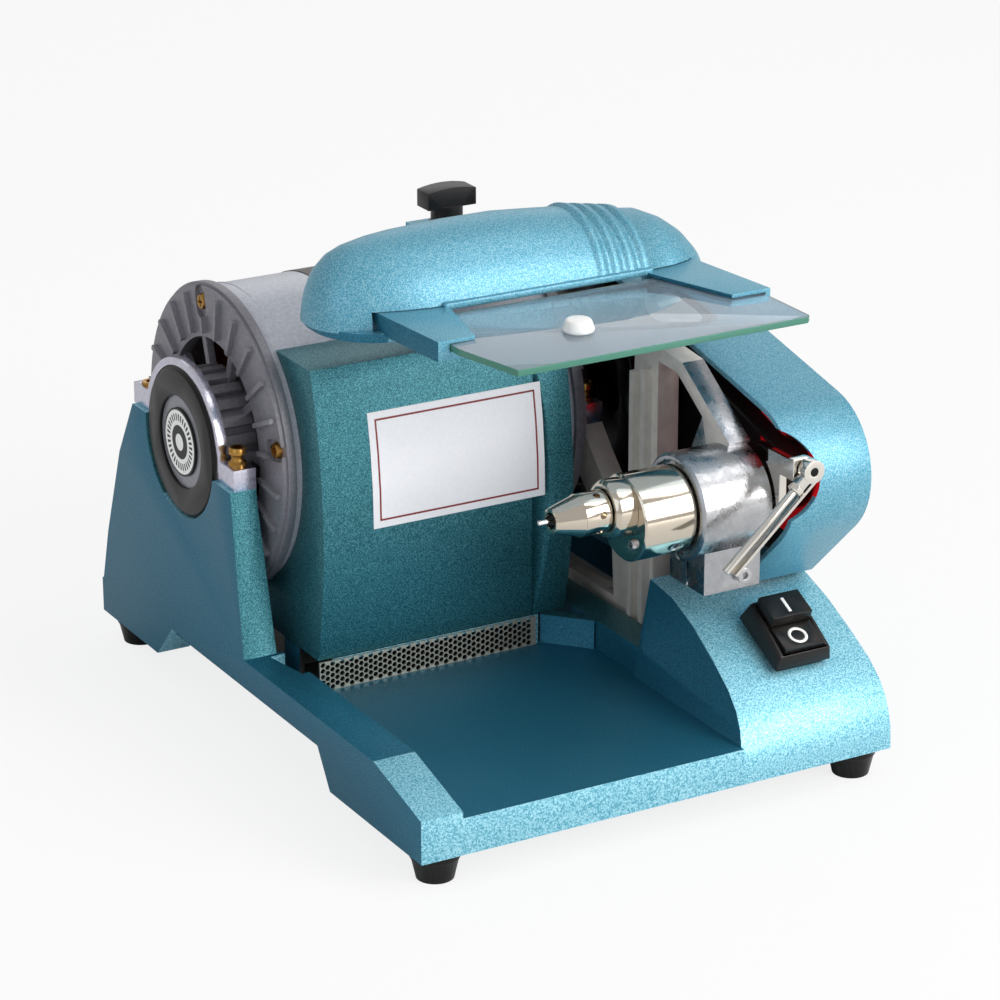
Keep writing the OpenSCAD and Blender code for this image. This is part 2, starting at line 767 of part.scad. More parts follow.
module spindle_bearings() {
  color("silver") place() for (x = [cart_x + 3, barrel_x + barrel_l - 9]) {
    tube_x(x, 7, spindle_y, axis_z, 22, 18);
    tube_x(x, 7, spindle_y, axis_z, 12, 8 + 2 * fit);
    tube_x(x + 0.8, 5.4, spindle_y, axis_z, 18, 12);
  }
}

module spindle_shaft() {
  color("silver") place() difference() {
    union() {
      rod_x(collar_x - 6, spulley_x + spulley_l + 3 - collar_x + 6, spindle_y, axis_z, 8);
      rod_x(collar_x - 6, 14, spindle_y, axis_z, 12);
      rod_x(cart_x + 11, 40, spindle_y, axis_z, 14);
    }
    rod_x(collar_x - 7, 24, spindle_y, axis_z, 6);
  }
}

module collet_nut() {
  cone_l = 13;
  color("silver") place() difference() {
    union() {
      rod_x(nose_x, cone_l, spindle_y, axis_z, 11.2, nut_d - 0.6);
      rod_x(nose_x + cone_l - eps, collar_x - 0.6 - nose_x - cone_l, spindle_y, axis_z, nut_d);
    }
    rod_x(nose_x - 1, 60, spindle_y, axis_z, 7.6);
    rod_x(collar_x - 6.4, 20, spindle_y, axis_z, 12);
    for (a = [20:60:380]) translate([0, spindle_y, axis_z]) rotate([a, 0, 0])
      translate([collar_x - 5, 0, 6]) cylinder(h = 6, d = 3.2);
  }
}

module collet() {
  color("dimgray") place() difference() {
    union() {
      rod_x(nose_x + 0.6, 18.8, spindle_y, axis_z, 7.6);
      rod_x(nose_x + 19, 12, spindle_y, axis_z, 5.8);
      rod_x(nose_x - 1.6, 2.2 + eps, spindle_y, axis_z, 4.4, 7);
    }
    rod_x(nose_x - 3, 60, spindle_y, axis_z, shank_d);
    for (a = [0, 60, 120]) translate([0, spindle_y, axis_z]) rotate([a, 0, 0])
      translate([nose_x - 3, -0.25, -5]) cube([12, 0.5, 10]);
  }
}

module shank() {
  color("silver") place() union() {
    rod_x(nose_x - 6, 24, spindle_y, axis_z, shank_d);
    rod_x(nose_x - 6.4, 0.4 + eps, spindle_y, axis_z, shank_d - 0.8, shank_d);
  }
}

module spindle_pulley() {
  color("black") place() difference() {
    union() {
      rod_x(spulley_x, spulley_l, spindle_y, axis_z, spindle_pulley_d);
    }
    rod_x(spulley_x - 1, spulley_l + 2, spindle_y, axis_z, 8);
    difference() {
      rod_x(belt_x - 0.5, belt_l + 1, spindle_y, axis_z, spindle_pulley_d + 2);
      rod_x(belt_x - 1, belt_l + 2, spindle_y, axis_z, spindle_pulley_d - 4);
    }
    tube_x(spulley_x + spulley_l - 3, 5, spindle_y, axis_z, spindle_pulley_d - 8, 15);
  }
}

module spindle_locknut() {
  color("silver") place() difference() {
    union() {
      rod_x(spulley_x - 6, 6, spindle_y, axis_z, 18, 13);
      rod_x(spulley_x + spulley_l, 3.5, spindle_y, axis_z, 14);
    }
    rod_x(spulley_x - 10, 60, spindle_y, axis_z, 8);
  }
}

module clamp_screw() {
  color("silver") place() translate([barrel_x + 23, spindle_y - 17, spindle_z - 30])
    rotate([90, 0, 0]) socket_screw(4, 7, 24);
}

module cartridge_screws() {
  color("silver") place() {
    translate([cart_x - 0.8, spindle_y - 9.2, spindle_z - 9.2]) rotate([0, -90, 0]) pan_screw(2.6, 6);
    translate([barrel_x - 10, spindle_y, spindle_z]) rotate([126, 0, 0])
      translate([0, 0, cartridge_d / 2 - 4]) difference() {
      cylinder(h = 3.6, d = 5.6);
      translate([0, 0, 1.6]) cylinder(h = 4, d = 3, $fn = 6);
    }
  }
}

// ---- release lever ----
module lever_frame() {
  translate([lever_x, lever_y, lever_z]) children();
}

module lever_arm() {
  // fixed link from the barrel to the pivot
  color("silver") place() difference() {
    union() {
      rod_x(bracket_x + bracket_t, 4, lever_arm_y(), lever_arm_z(), 11);
      translate([bracket_x + bracket_t, lever_y + 6, lever_z - 5])
        cube([4, lever_arm_y() - lever_y - 2, 9]);
      translate([bracket_x + bracket_t, lever_arm_y() - 5.5, lever_arm_z()])
        cube([4, 11, lever_z - lever_arm_z() - 2]);
      translate([bracket_x + bracket_t, lever_y + 6, lever_z - 5])
        cube([lever_x - bracket_x - bracket_t, 4, 10]);
      rod_y(lever_x, lever_y + 6, lever_z, 4, 10);
    }
    rod_y(lever_x, lever_y - 1, lever_z, 30, 4);
    rod_x(bracket_x - 4, 40, lever_arm_y(), lever_arm_z(), 4);
  }
}

module lever_pin() {
  color("dimgray") place() {
    rod_y(lever_x, lever_y, lever_z, 9, 4);
    translate([bracket_x + bracket_t + 4, lever_arm_y(), lever_arm_z()]) rotate([0, 90, 0])
      socket_screw(4, 7, 7);
  }
}

module lever_eye() {
  color("silver") place() lever_frame() difference() {
    union() {
      rod_y(0, 0, 0, 5, 10.4);
      rotate([0, -lever_ang, 0]) translate([-9, 0.4, -2.2]) cube([6, 4.2, 4.4]);
      // thin flat bar beside the rod
      rotate([0, -lever_ang, 0]) translate([-56, 0.6, -5]) cube([55, 3.6, 1.4]);
    }
    rod_y(0, -1, 0, 8, 4 + 2 * fit);
  }
}

module lever_nut() {
  color("silver") place() lever_frame() rotate([0, -lever_ang, 0]) translate([-12, 2.5, 0])
    rotate([0, 90, 0]) difference() {
      cylinder(h = 3, d = 7, $fn = 6);
      translate([0, 0, -1]) cylinder(h = 5, d = 3);
    }
}

module lever_rod() {
  color("silver") place() lever_frame() rotate([0, -lever_ang, 0]) {
    translate([-58, 2.5, 0]) rotate([0, 90, 0]) cylinder(h = 46, d = 3.6);
    translate([-12, 2.5, 0]) rotate([0, 90, 0]) cylinder(h = 3, d = 3);
  }
}

// ---- belt guard ----
module guard_outline(off) {
  dy = motor_y - nose_y;
  dz = motor_z - nose_z;
  c = sqrt(dy * dy + dz * dz);
  a = acos((guard_r - nose_r) / c);
  b = atan2(dz, dy) + 180;
  R = guard_r - off;
  r = nose_r - off;
  union() {
    polygon(concat(
      [for (i = [0:16]) let (t = b - a + (a + 46) * i / 16) [nose_y + r * cos(t), nose_z + r * sin(t)]],
      [[block_d - 6, block_z - 20], [motor_y + guard_r - off, block_z - 20],
       [motor_y + guard_r - off, motor_z]],
      [for (i = [0:16]) let (t = 0 + (b - a) * i / 16) [motor_y + R * cos(t), motor_z + R * sin(t)]]));
  }
}

module belt_guard() {
  color("teal") place() difference() {
    intersection() {
      along_x(guard_x, guard_w) guard_outline(0);
      translate([0, -1, 20]) cube([base_w, base_d, 300]);
    }
    along_x(guard_x - 1, guard_w - guard_t + 1) guard_outline(guard_t);
    // the casting wall stands under the whole guard
    translate([guard_x - 1, -1, -1]) cube([guard_w + 2, base_d + 2, block_z + 1.02]);
    // round notch in the free edge of the nose
    translate([guard_x - 8, 0, 127]) rotate([-90, 0, 0]) cylinder(h = 60, d = 42);
    for (y = guard_ys()) translate([0, y, block_z + 8]) {
      rod_x(base_w - 10, 20, 0, 0, 4.2);
      rod_x(base_w - 1.2, 20, 0, 0, 7.6);
    }
  }
}

function guard_ys() = [motor_y - 90, motor_y, motor_y + guard_r - 14];

module guard_liner() {
  // red inner plate against the side wall
  color("red") place() along_x(base_w - guard_t - 1.5, 1.5) intersection() {
    guard_outline(guard_t + 0.5);
    translate([0, block_z + 14]) square([base_d, 200]);
  }
}

module guard_screws() {
  color("silver") place() for (y = guard_ys())
    translate([0, y, block_z + 8]) {
      rod_x(base_w - 7, 6, 0, 0, 4);
      difference() {
        rod_x(base_w - 1.2, 1.1, 0, 0, 7);
        translate([base_w - 0.6, -2.4, -0.5]) cube([1, 4.8, 1]);
      }
    }
}

// ---- hood ----
function hood_arc(x0, a, h, z, t0, t1) =
  [for (i = [0:14]) let (t = t0 + (t1 - t0) * i / 14) [x0 + a * cos(t), z + h * sin(t)]];

module hood_front(off) {
  // XZ section, steep left shoulder and a long fall to the right
  xc = hood_x + 0.4 * hood_w;
  z = hood_z + 3;
  h = hood_h - 3 - off;
  polygon(concat([[hood_x + hood_w - off, hood_z - 1 - off]],
    hood_arc(xc, 0.6 * hood_w - off, h, z, 0, 90), hood_arc(xc, 0.4 * hood_w - off, h, z, 90, 180),
    [[hood_x + off, hood_z - 1 - off]]));
}

module hood_cross(off) {
  // YZ section
  yc = hood_y + hood_d / 2;
  z = hood_z + 5;
  h = hood_h - 5 - off;
  polygon(concat([[hood_y + hood_d - off, hood_z - 1 - off]],
    hood_arc(yc, hood_d / 2 - off, h, z, 0, 90), hood_arc(yc, hood_d / 2 - off, h, z, 90, 180),
    [[hood_y + off, hood_z - 1 - off]]));
}

module hood_plan(off) {
  // XY section with rounded ends
  x0 = hood_x + hood_r;
  x1 = hood_x + hood_w - hood_r;
  ym = hood_y + hood_d / 2;
  dy = hood_d / 2 - hood_r;
  union() {
    translate([x0, hood_y + off]) square([x1 - x0, hood_d - 2 * off]);
    for (x = [x0, x1]) for (y = [ym - dy, ym + dy]) translate([x, y]) circle(r = hood_r - off);
    translate([hood_x + off, ym - dy]) square([hood_w - 2 * off, 2 * dy]);
  }
}

module hood_solid(off) {
  intersection() {
    along_y(hood_y - 2, hood_d + 4) hood_front(off);
    along_x(hood_x - 2, hood_w + 4) hood_cross(off);
    translate([0, 0, hood_z - 1 - off]) linear_extrude(80) hood_plan(off);
  }
}

module hood_shell() {
  color("teal") place() difference() {
    union() {
      hood_solid(0);
      // four low ribs across the right shoulder
      for (i = [0:3]) intersection() {
        translate([rib_x + i * 7, hood_y - 2, lip_z + 8]) cube([3.5, hood_d + 4, 60]);
        hood_solid(-1);
      }
      // rear tab under the clamp knob
      translate([post_x - 14, hood_y + hood_d - 2, tab_z]) cube([28, post_y + 16 - hood_y - hood_d, tab_t]);
    }
    tab_slot();
    hood_solid(hood_t);
    translate([0, 0, hood_z - 20]) cube([300, 300, 20]);
    // the front lip stands above the two arms
    translate([hood_x + 8, hood_y - 4, hood_z - 2]) cube([hood_w - 16, 22, lip_z + 0.4 - hood_z + 2]);
  }
}

module hood_frame() {
  color("teal") place() difference() {
    union() {
      translate([0, 0, hood_z - 4]) linear_extrude(4) difference() {
        hood_plan(0.5);
        hood_plan(7);
        translate([guard_x - 3, 0]) square([60, 300]);
      }
      // left arm
      translate([0, 0, lip_z - arm_t]) linear_extrude(arm_t) polygon([[50, arm_end_y], [68, arm_end_y],
        [78, hood_y + 2], [78, hood_y + 9], [42, hood_y + 24], [46, hood_y + 14]]);
      // right arm
      translate([0, 0, lip_z - arm_t]) linear_extrude(arm_t) polygon([[193, arm_end_y - 6],
        [213, arm_end_y - 6],
        [206, hood_y + 18], [180, hood_y + 8], [177, hood_y + 2]]);
    }
    // slots that guide the glass
    translate([glass_x - 0.4, 20, glass_z - 0.35]) cube([glass_w + 0.8, 96, glass_t + 0.7]);
    for (p = frame_points()) translate([p[0], p[1], hood_z - 10]) cylinder(h = 16, d = 3);
  }
}

module tab_slot() {
  // long hole so that the hood can be pushed back and forth
  translate([post_x - 3, post_y - 3.3, tab_z - 2]) cube([6, 6.6, tab_t + 4]);
  for (y = [post_y - 3.3, post_y + 3.3]) translate([post_x, y, tab_z - 2]) cylinder(h = tab_t + 4, d = 6);
}

function frame_points() = [[56, 84], [60, 98], [202, 84], [198, 98]];

module frame_screws() {
  color("goldenrod") place() for (p = frame_points())
    translate([p[0], p[1], hood_z - 1]) mirror([0, 0, 1]) pan_screw(3, 3.5);
}

module lamp_tube() {
  color("white") place() union() {
    rod_x(hood_x + 38, hood_w - 79, hood_y + 36, hood_z + 14, 15);
  }
}

module lamp_holders() {
  color("white") place() for (x = [56, 180]) difference() {
    intersection() {
      translate([x, hood_y + 26, hood_z + 3]) cube([9, 20, hood_h]);
      hood_solid(hood_t);
    }
    translate([x - 1, hood_y + 34, hood_z + 2]) cube([3, 4, 8]);
  }
}

module hood_post() {
  // saddle on the motor shell with a round pillar
  color("teal") place() difference() {
    union() {
      translate([post_x - 16, post_y - 13, motor_z + 60]) cube([32, 32, 13.5]);
      translate([post_x, post_y, motor_z + 66]) cylinder(h = tab_z - motor_z - 66 - 0.35, d = 20);
    }
    rod_x(0, 300, motor_y, motor_z, shell_d + 0.1);
    translate([post_x, post_y, motor_z]) cylinder(h = 100, d = 5 + 2 * fit);
  }
}

module clamp_stud() {
  color("silver") place() translate([post_x, post_y, motor_z + 66.5])
    cylinder(h = tab_z + 17 - motor_z - 66.5, d = 5);
}

module clamp_knob() {
  // round neck under a cross bar with an arched top
  color("black") place() translate([post_x, post_y, tab_z + tab_t + 0.35]) difference() {
    union() {
      cylinder(h = 2, d = 17);
      cylinder(h = 10, d = 15);
      translate([0, 5.5, 0]) rotate([90, 0, 0]) linear_extrude(11) intersection() {
        translate([0, -32]) circle(r = 51);
        translate([-12.5, 9.5]) square([25, 20]);
      }
    }
    translate([0, 0, -1]) cylinder(h = 15, d = 5 + 2 * fit);
  }
}

module glass_screen() {
  color("lightcyan") place() translate([glass_x, glass_y, glass_z]) linear_extrude(glass_t)
    polygon([[8, 0], [glass_w - 2, 0], [glass_w, 2], [glass_w, glass_d], [0, glass_d], [0, 36]]);
}

module glass_knob() {
  color("white") place() translate([glass_x + 56, glass_y + 32, glass_z + glass_t]) {
    cylinder(h = 1.6, d = 14);
    translate([0, 0, 1.6]) cylinder(h = 4, d1 = 14, d2 = 11);
  }
}

// ---- switch ----
module switch_body() {
  // housing with drafted sides and the box inside the base
  color("black") place() switch_frame() difference() {
    union() {
      intersection() {
        along_y(-switch_l / 2, switch_l) polygon([[-switch_w / 2, 0.3], [switch_w / 2, 0.3],
          [switch_w / 2 - 2.4, 12], [-switch_w / 2 + 2.4, 12]]);
        along_x(-switch_w / 2, switch_w) polygon([[-switch_l / 2, 0.3], [switch_l / 2, 0.3],
          [switch_l / 2 - 1.8, 11], [0, 10], [-switch_l / 2 + 1.8, 7.5]]);
      }
      translate([-key_w / 2 - 1.3, -key_l - 0.9, -14]) cube([key_w + 2.6, 2 * key_l + 1.8, 17]);
    }
    translate([-key_w / 2 - 0.35, -key_l - 0.35, -11]) cube([key_w + 0.7, 2 * key_l + 0.7, 30]);
  }
}

module key_on() {
  color("black") place() switch_frame() difference() {
    translate([-key_w / 2, 0.2, -6]) cube([key_w, key_l - 0.2, 21.5]);
    translate([-0.9, 2.5, 15.2]) cube([1.8, 8.5, 1]);
  }
}

module key_off() {
  color("black") place() switch_frame() difference() {
    translate([-key_w / 2, -key_l, -6]) cube([key_w, key_l - 0.2, 16]);
    translate([0, -key_l / 2, 9.7]) difference() {
      cylinder(h = 1, d = 9.4);
      translate([0, 0, -1]) cylinder(h = 3, d = 6);
    }
  }
}

module cable_gland() {
  color("black") place() translate([60, base_d - skirt_t, gland_z]) rotate([-90, 0, 0]) difference() {
    union() {
      translate([0, 0, -8]) cylinder(h = skirt_t + 7.9, d = 10);
      translate([0, 0, -11]) cylinder(h = 4, d = 14, $fn = 6);
    }
    translate([0, 0, -20]) cylinder(h = 40, d = 6.5);
  }
}

base_casting();
base_feet();
foot_screws();
suction_mesh();
motor_shield();
warning_sticker();
shield_screws();
motor_shell();
motor_nameplate();
left_end_bell();
right_end_bell();
bell_screws();
stator_core();
stator_windings();
rotor_core();
motor_shaft();
motor_bearings();
rubber_rings();
hub_emblem();
cradle_straps();
strap_screws();
motor_pulley();
drive_belt();
head_bracket();
bracket_bolts();
spindle_cartridge();
nose_collar();
spindle_bearings();
spindle_shaft();
collet_nut();
collet();
shank();
spindle_pulley();
spindle_locknut();
clamp_screw();
cartridge_screws();
lever_arm();
lever_pin();
lever_eye();
lever_nut();
lever_rod();
belt_guard();
guard_liner();
guard_screws();
hood_shell();
hood_frame();
lamp_tube();
lamp_holders();
hood_post();
clamp_stud();
clamp_knob();
frame_screws();
glass_screen();
glass_knob();
switch_body();
key_on();
key_off();
cable_gland();
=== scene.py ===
"""Bench collet lathe: the finished look of the machine, built round its solid model."""

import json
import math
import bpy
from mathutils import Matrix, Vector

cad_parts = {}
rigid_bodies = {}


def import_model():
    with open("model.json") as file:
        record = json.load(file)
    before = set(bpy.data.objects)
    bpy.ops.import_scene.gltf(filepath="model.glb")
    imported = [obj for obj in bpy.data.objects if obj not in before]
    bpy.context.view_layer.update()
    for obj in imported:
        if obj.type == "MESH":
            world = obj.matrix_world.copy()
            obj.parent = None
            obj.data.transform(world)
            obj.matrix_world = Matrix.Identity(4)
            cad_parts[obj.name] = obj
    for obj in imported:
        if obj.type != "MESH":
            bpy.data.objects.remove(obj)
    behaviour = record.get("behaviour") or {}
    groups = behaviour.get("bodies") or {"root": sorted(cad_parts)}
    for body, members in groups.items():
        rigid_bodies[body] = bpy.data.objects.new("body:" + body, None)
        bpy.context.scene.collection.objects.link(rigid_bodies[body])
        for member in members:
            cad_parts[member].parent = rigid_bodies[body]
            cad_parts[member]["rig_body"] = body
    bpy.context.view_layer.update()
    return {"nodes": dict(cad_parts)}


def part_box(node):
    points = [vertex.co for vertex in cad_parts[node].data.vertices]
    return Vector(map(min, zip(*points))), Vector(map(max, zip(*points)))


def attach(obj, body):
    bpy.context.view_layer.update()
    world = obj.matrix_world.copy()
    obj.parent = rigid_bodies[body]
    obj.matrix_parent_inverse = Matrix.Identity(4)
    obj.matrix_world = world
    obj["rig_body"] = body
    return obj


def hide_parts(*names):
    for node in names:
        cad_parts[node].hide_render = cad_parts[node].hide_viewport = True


bl_info = {
    "name": "Bench collet lathe",
    "version": (1, 0, 0),
    "blender": (4, 5, 0),
    "location": "3D View > Sidebar > Lathe",
    "description": "Dresses a belt-driven collet lathe with its finished pieces and materials",
    "category": "Object",
}

import bpy
from mathutils import Vector

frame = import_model()
NODES = frame["nodes"]

MM = 0.001
# half the width and depth of the base and the height of its feet, in mm
HALF_WIDTH, HALF_DEPTH, FOOT = 119, 161, 13


def at(x, y, z):
    """A place in mm from the lower front left corner of the base, as metres in the frame."""
    return Vector(((x - HALF_WIDTH) * MM, (y - HALF_DEPTH) * MM, (z + FOOT) * MM))


def from_corner(place):
    """The inverse of at(): a place in the frame as mm from the corner of the base."""
    return place.x / MM + HALF_WIDTH, place.y / MM + HALF_DEPTH, place.z / MM - FOOT


# ---- materials ----
def linear(code):
    """An sRGB hex colour as linear RGBA."""
    parts = [int(code[i : i + 2], 16) / 255 for i in (1, 3, 5)]
    return tuple(
        c / 12.92 if c <= 0.04045 else ((c + 0.055) / 1.055) ** 2.4 for c in parts
    ) + (1.0,)


def add(tree, kind, settings=None, links=None):
    """Adds one shader node, sets its properties or sockets, and links its inputs."""
    node = tree.nodes.new(kind)
    for key, value in (settings or {}).items():
        if hasattr(node, key):
            setattr(node, key, value)
        else:
            node.inputs[key].default_value = value
    for key, (source, output) in (links or {}).items():
        tree.links.new(source.outputs[output], node.inputs[key])
    return node


def ramp(tree, source, output, stops):
    """A colour ramp on another node's value, with hex colours or grey levels at its stops."""
    node = add(tree, "ShaderNodeValToRGB", links={"Fac": (source, output)})
    while len(node.color_ramp.elements) < len(stops):
        node.color_ramp.elements.new(0.5)
    for element, (place, colour) in zip(node.color_ramp.elements, stops):
        element.position = place
        element.color = linear(colour) if isinstance(colour, str) else (colour,) * 3 + (1,)
    return node


def finish(name, sockets):
    """A new material with a Principled shader and object coordinates."""
    material = bpy.data.materials.new(name)
    material.use_nodes = True
    tree = material.node_tree
    tree.nodes.clear()
    shader = add(tree, "ShaderNodeBsdfPrincipled", sockets)
    add(tree, "ShaderNodeOutputMaterial", links={"Surface": (shader, "BSDF")})
    coords = add(tree, "ShaderNodeTexCoord")
    return material, tree, shader, coords


def bump(tree, shader, height, output, strength, depth):
    """Raises the surface by another node's value, depth in metres."""
    node = add(tree, "ShaderNodeBump", {"Strength": strength, "Distance": depth},
               {"Height": (height, output)})
    tree.links.new(node.outputs["Normal"], shader.inputs["Normal"])


def hammertone(name, dark, middle, light, flake, metallic, gloss):
    """Stoved metallic enamel: a fine orange peel with dark pits in a paler, flaky ground."""
    material, tree, shader, coords = finish(
        name, {"Roughness": 0.46, "Metallic": metallic, "Coat Weight": gloss,
               "Coat Roughness": 0.32, "Coat IOR": 1.5})
    grains = add(tree, "ShaderNodeTexNoise", {"Scale": flake, "Detail": 1.5, "Roughness": 0.6},
                 {"Vector": (coords, "Object")})
    tones = ramp(tree, grains, "Fac", ((0.38, dark), (0.48, middle), (0.6, light)))
    tree.links.new(tones.outputs["Color"], shader.inputs["Base Color"])
    peel = add(tree, "ShaderNodeTexNoise", {"Scale": 700.0, "Detail": 2.0},
               {"Vector": (coords, "Object")})
    bump(tree, shader, peel, "Fac", 0.3, 0.0004)
    return material


def plain(name, colour, sockets, grain=600.0, relief=0.0001, spread=0.12):
    """A finish of one colour with fine mottling and a slight grain."""
    material, tree, shader, coords = finish(name, sockets)
    noise = add(tree, "ShaderNodeTexNoise", {"Scale": grain, "Detail": 3.0},
                {"Vector": (coords, "Object")})
    base = linear(colour)
    tones = add(tree, "ShaderNodeValToRGB", links={"Fac": (noise, "Fac")})
    low, high = tones.color_ramp.elements
    low.position, high.position = 0.3, 0.7
    low.color = tuple(c * (1 - spread) for c in base[:3]) + (1,)
    high.color = tuple(min(1, c * (1 + spread)) for c in base[:3]) + (1,)
    tree.links.new(tones.outputs["Color"], shader.inputs["Base Color"])
    bump(tree, shader, noise, "Fac", 0.4, relief)
    return material


def turned_metal(name, colour, roughness, pitch):
    """Metal turned on a lathe: fine rings round the X axis from noise stretched round it."""
    material, tree, shader, coords = finish(name, {"Metallic": 1.0})
    place = add(tree, "ShaderNodeMapping", {"Scale": (1.0 / pitch, 8.0, 8.0)},
                {"Vector": (coords, "Object")})
    rings = add(tree, "ShaderNodeTexNoise", {"Scale": 1.0, "Detail": 2.0},
                {"Vector": (place, "Vector")})
    spread = ramp(tree, rings, "Fac", ((0.3, roughness * 0.7), (0.7, min(1, roughness * 1.4))))
    tree.links.new(spread.outputs["Color"], shader.inputs["Roughness"])
    shader.inputs["Base Color"].default_value = linear(colour)
    bump(tree, shader, rings, "Fac", 0.12, 0.0001)
    return material


def cast_metal(name, colour, polished, rough, relief, metallic=1.0):
    """Sand cast and tumbled metal: bright worn patches between duller grains."""
    material, tree, shader, coords = finish(name, {"Metallic": metallic})
    patches = add(tree, "ShaderNodeTexNoise", {"Scale": 170.0, "Detail": 3.0, "Roughness": 0.55},
                  {"Vector": (coords, "Object")})
    spread = ramp(tree, patches, "Fac", ((0.38, polished), (0.62, rough)))
    tree.links.new(spread.outputs["Color"], shader.inputs["Roughness"])
    base = linear(colour)
    tones = ramp(tree, patches, "Fac", ((0.3, 1.0), (0.7, 0.0)))
    tones.color_ramp.elements[0].color = base
    tones.color_ramp.elements[1].color = tuple(c * 0.84 for c in base[:3]) + (1,)
    tree.links.new(tones.outputs["Color"], shader.inputs["Base Color"])
    grain = add(tree, "ShaderNodeTexNoise", {"Scale": 420.0, "Detail": 2.0},
                {"Vector": (coords, "Object")})
    bump(tree, shader, grain, "Fac", 0.35, relief)
    return material


def glass(name, colour, clearness, roughness):
    """Float glass, with a haze where it isn't quite clear."""
    material, tree, shader, coords = finish(
        name, {"Roughness": roughness, "Transmission Weight": clearness, "IOR": 1.45})
    noise = add(tree, "ShaderNodeTexNoise", {"Scale": 30.0}, {"Vector": (coords, "Object")})
    tones = ramp(tree, noise, "Fac", ((0.2, colour), (0.8, colour)))
    tree.links.new(tones.outputs["Color"], shader.inputs["Base Color"])
    return material


FINISHES = {}


def finishes():
    """Every finish of the machine by its short name, made once."""
    if FINISHES:
        return FINISHES
    done = FINISHES
    # the front faces sparkle: dark pits in a pale blue ground
    done["enamel"] = hammertone(
        "stoved hammertone enamel", "#4A97B0", "#74BACF", "#A2D6E4", 1500.0, 0.4, 0.25)
    # guard and hood take the same enamel with less flake at the surface, made darker and greyer as
    # painted shade so that their faces under the key light keep the casting's tone
    done["guard"] = hammertone(
        "hammertone enamel on the guard", "#3C88A2", "#4E98B0", "#7FB0C1", 1700.0, 0.4, 0.25)
    # a darker, smoother copy of the enamel for the tray, the rail tops and the left flanks: painted
    # shade
    done["enamel_in_shade"] = hammertone(
        "thick hammertone enamel", "#16586F", "#1C637C", "#2C7792", 1900.0, 0.55, 0.1)
    # the sheet cover is greener and sandier than the casting in its own paint, and darker as
    # painted shade; the same darker finish is laid on parts of the casting as painted shade
    done["sheet"] = hammertone(
        "sprayed hammertone enamel on sheet", "#1B5663", "#256A76", "#4D8C95", 1700.0, 0.7, 0.2)
    # smooth satin lacquer, nearly neutral
    done["motor_grey"] = plain(
        "light grey stoved lacquer", "#B9BCC6",
        {"Roughness": 0.34, "Coat Weight": 0.25, "Coat Roughness": 0.2})
    # dull grey paint that softens the casting's bars
    done["bell"] = plain("grey painted die cast aluminium", "#7F7E85",
                         {"Roughness": 0.42, "Metallic": 0.35}, relief=0.0003)
    # the same paint on a turned face, a shade lighter and glossier
    done["hub"] = plain("grey painted hub face", "#8D8E95", {"Roughness": 0.35, "Metallic": 0.3})
    # bright tumbled skin with dull hollows
    done["cast"] = cast_metal("tumbled sand cast aluminium", "#B4B5B8", 0.2, 0.34, 0.0003)
    # a paler, matt copy of the cast aluminium that takes no reflection from the guard beside it:
    # painted light, so that the leg in shade reads bright
    done["leg"] = cast_metal("pale matt aluminium with painted light", "#D6CFC6", 0.3, 0.3, 0.0002, metallic=0.15)
    # mirror-like with turning rings, cool on steel and warm on nickel
    done["steel"] = turned_metal("turned and polished steel", "#DAD6CF", 0.12, 0.0004)
    done["nickel"] = turned_metal("polished nickel plate", "#CFC5B6", 0.1, 0.0005)
    # small bright screw heads with a soft bluish grey
    done["zinc"] = plain("zinc plated steel", "#B9B9BC", {"Roughness": 0.28, "Metallic": 1.0})
    # lilac-white sheen of buffed soft metal
    done["strap"] = plain("buffed aluminium", "#CFCEDD", {"Roughness": 0.22, "Metallic": 1.0})
    # near black with a faint metal gleam
    done["dark_steel"] = plain("blackened steel", "#1E1D1E", {"Roughness": 0.35, "Metallic": 0.8})
    done["iron"] = turned_metal("blackened iron pulley", "#3C3B3D", 0.34, 0.0006)
    # worn bronze-brown, brighter on the edges
    done["brass"] = cast_metal("worn brass", "#B58A48", 0.2, 0.4, 0.0002)
    # red-brown windings seen through the end bells
    done["copper"] = plain("lacquered copper wire", "#A8552A", {"Roughness": 0.35, "Metallic": 0.9})
    # black with a slight sheen
    done["rubber"] = plain("moulded black rubber", "#0B0A09",
                           {"Roughness": 0.3, "Specular IOR Level": 0.3}, relief=0.0002)
    # duller black with a cloth grain
    done["belt"] = plain("fabric backed rubber belt", "#141313", {"Roughness": 0.6}, relief=0.0003)
    # warm black plastic with a soft highlight
    done["black"] = plain("moulded black ABS", "#14100F",
                          {"Roughness": 0.34, "Specular IOR Level": 0.35})
    # flat black behind the medallion's white rings
    done["ink"] = plain("black printing ink", "#161414", {"Roughness": 0.5}, spread=0.05)
    # clean opaque white of knobs and marks
    done["white"] = plain("moulded white ABS", "#ECECEA", {"Roughness": 0.3}, spread=0.03)
    # signal red with a faint emission, a painted glow that keeps it bright inside the guard's nose
    done["red"] = plain("red enamel with a painted glow", "#E8101A", {
        "Roughness": 0.35, "Emission Color": linear("#E8101A"),
        "Emission Strength": 0.12}, spread=0.06)
    # the same red enamel, nearly black as painted shade inside the guard
    done["red_in_shade"] = plain("red enamel in painted shade", "#140809", {"Roughness": 0.7}, spread=0.2)
    # warm grey webs between dark holes
    done["grille"] = plain("lacquered perforated sheet", "#A9A497",
                           {"Roughness": 0.35, "Metallic": 0.6})
    # even white with a brown-red printed line
    done["label"] = plain("white vinyl label", "#E8E8EC", {"Roughness": 0.35}, spread=0.02)
    done["print"] = plain("red printing ink", "#7E1F1A", {"Roughness": 0.5}, spread=0.05)
    # brown-black plate with a sharp gleam
    done["plate"] = plain("dark anodised plate", "#2B2022", {"Roughness": 0.28, "Metallic": 0.4})
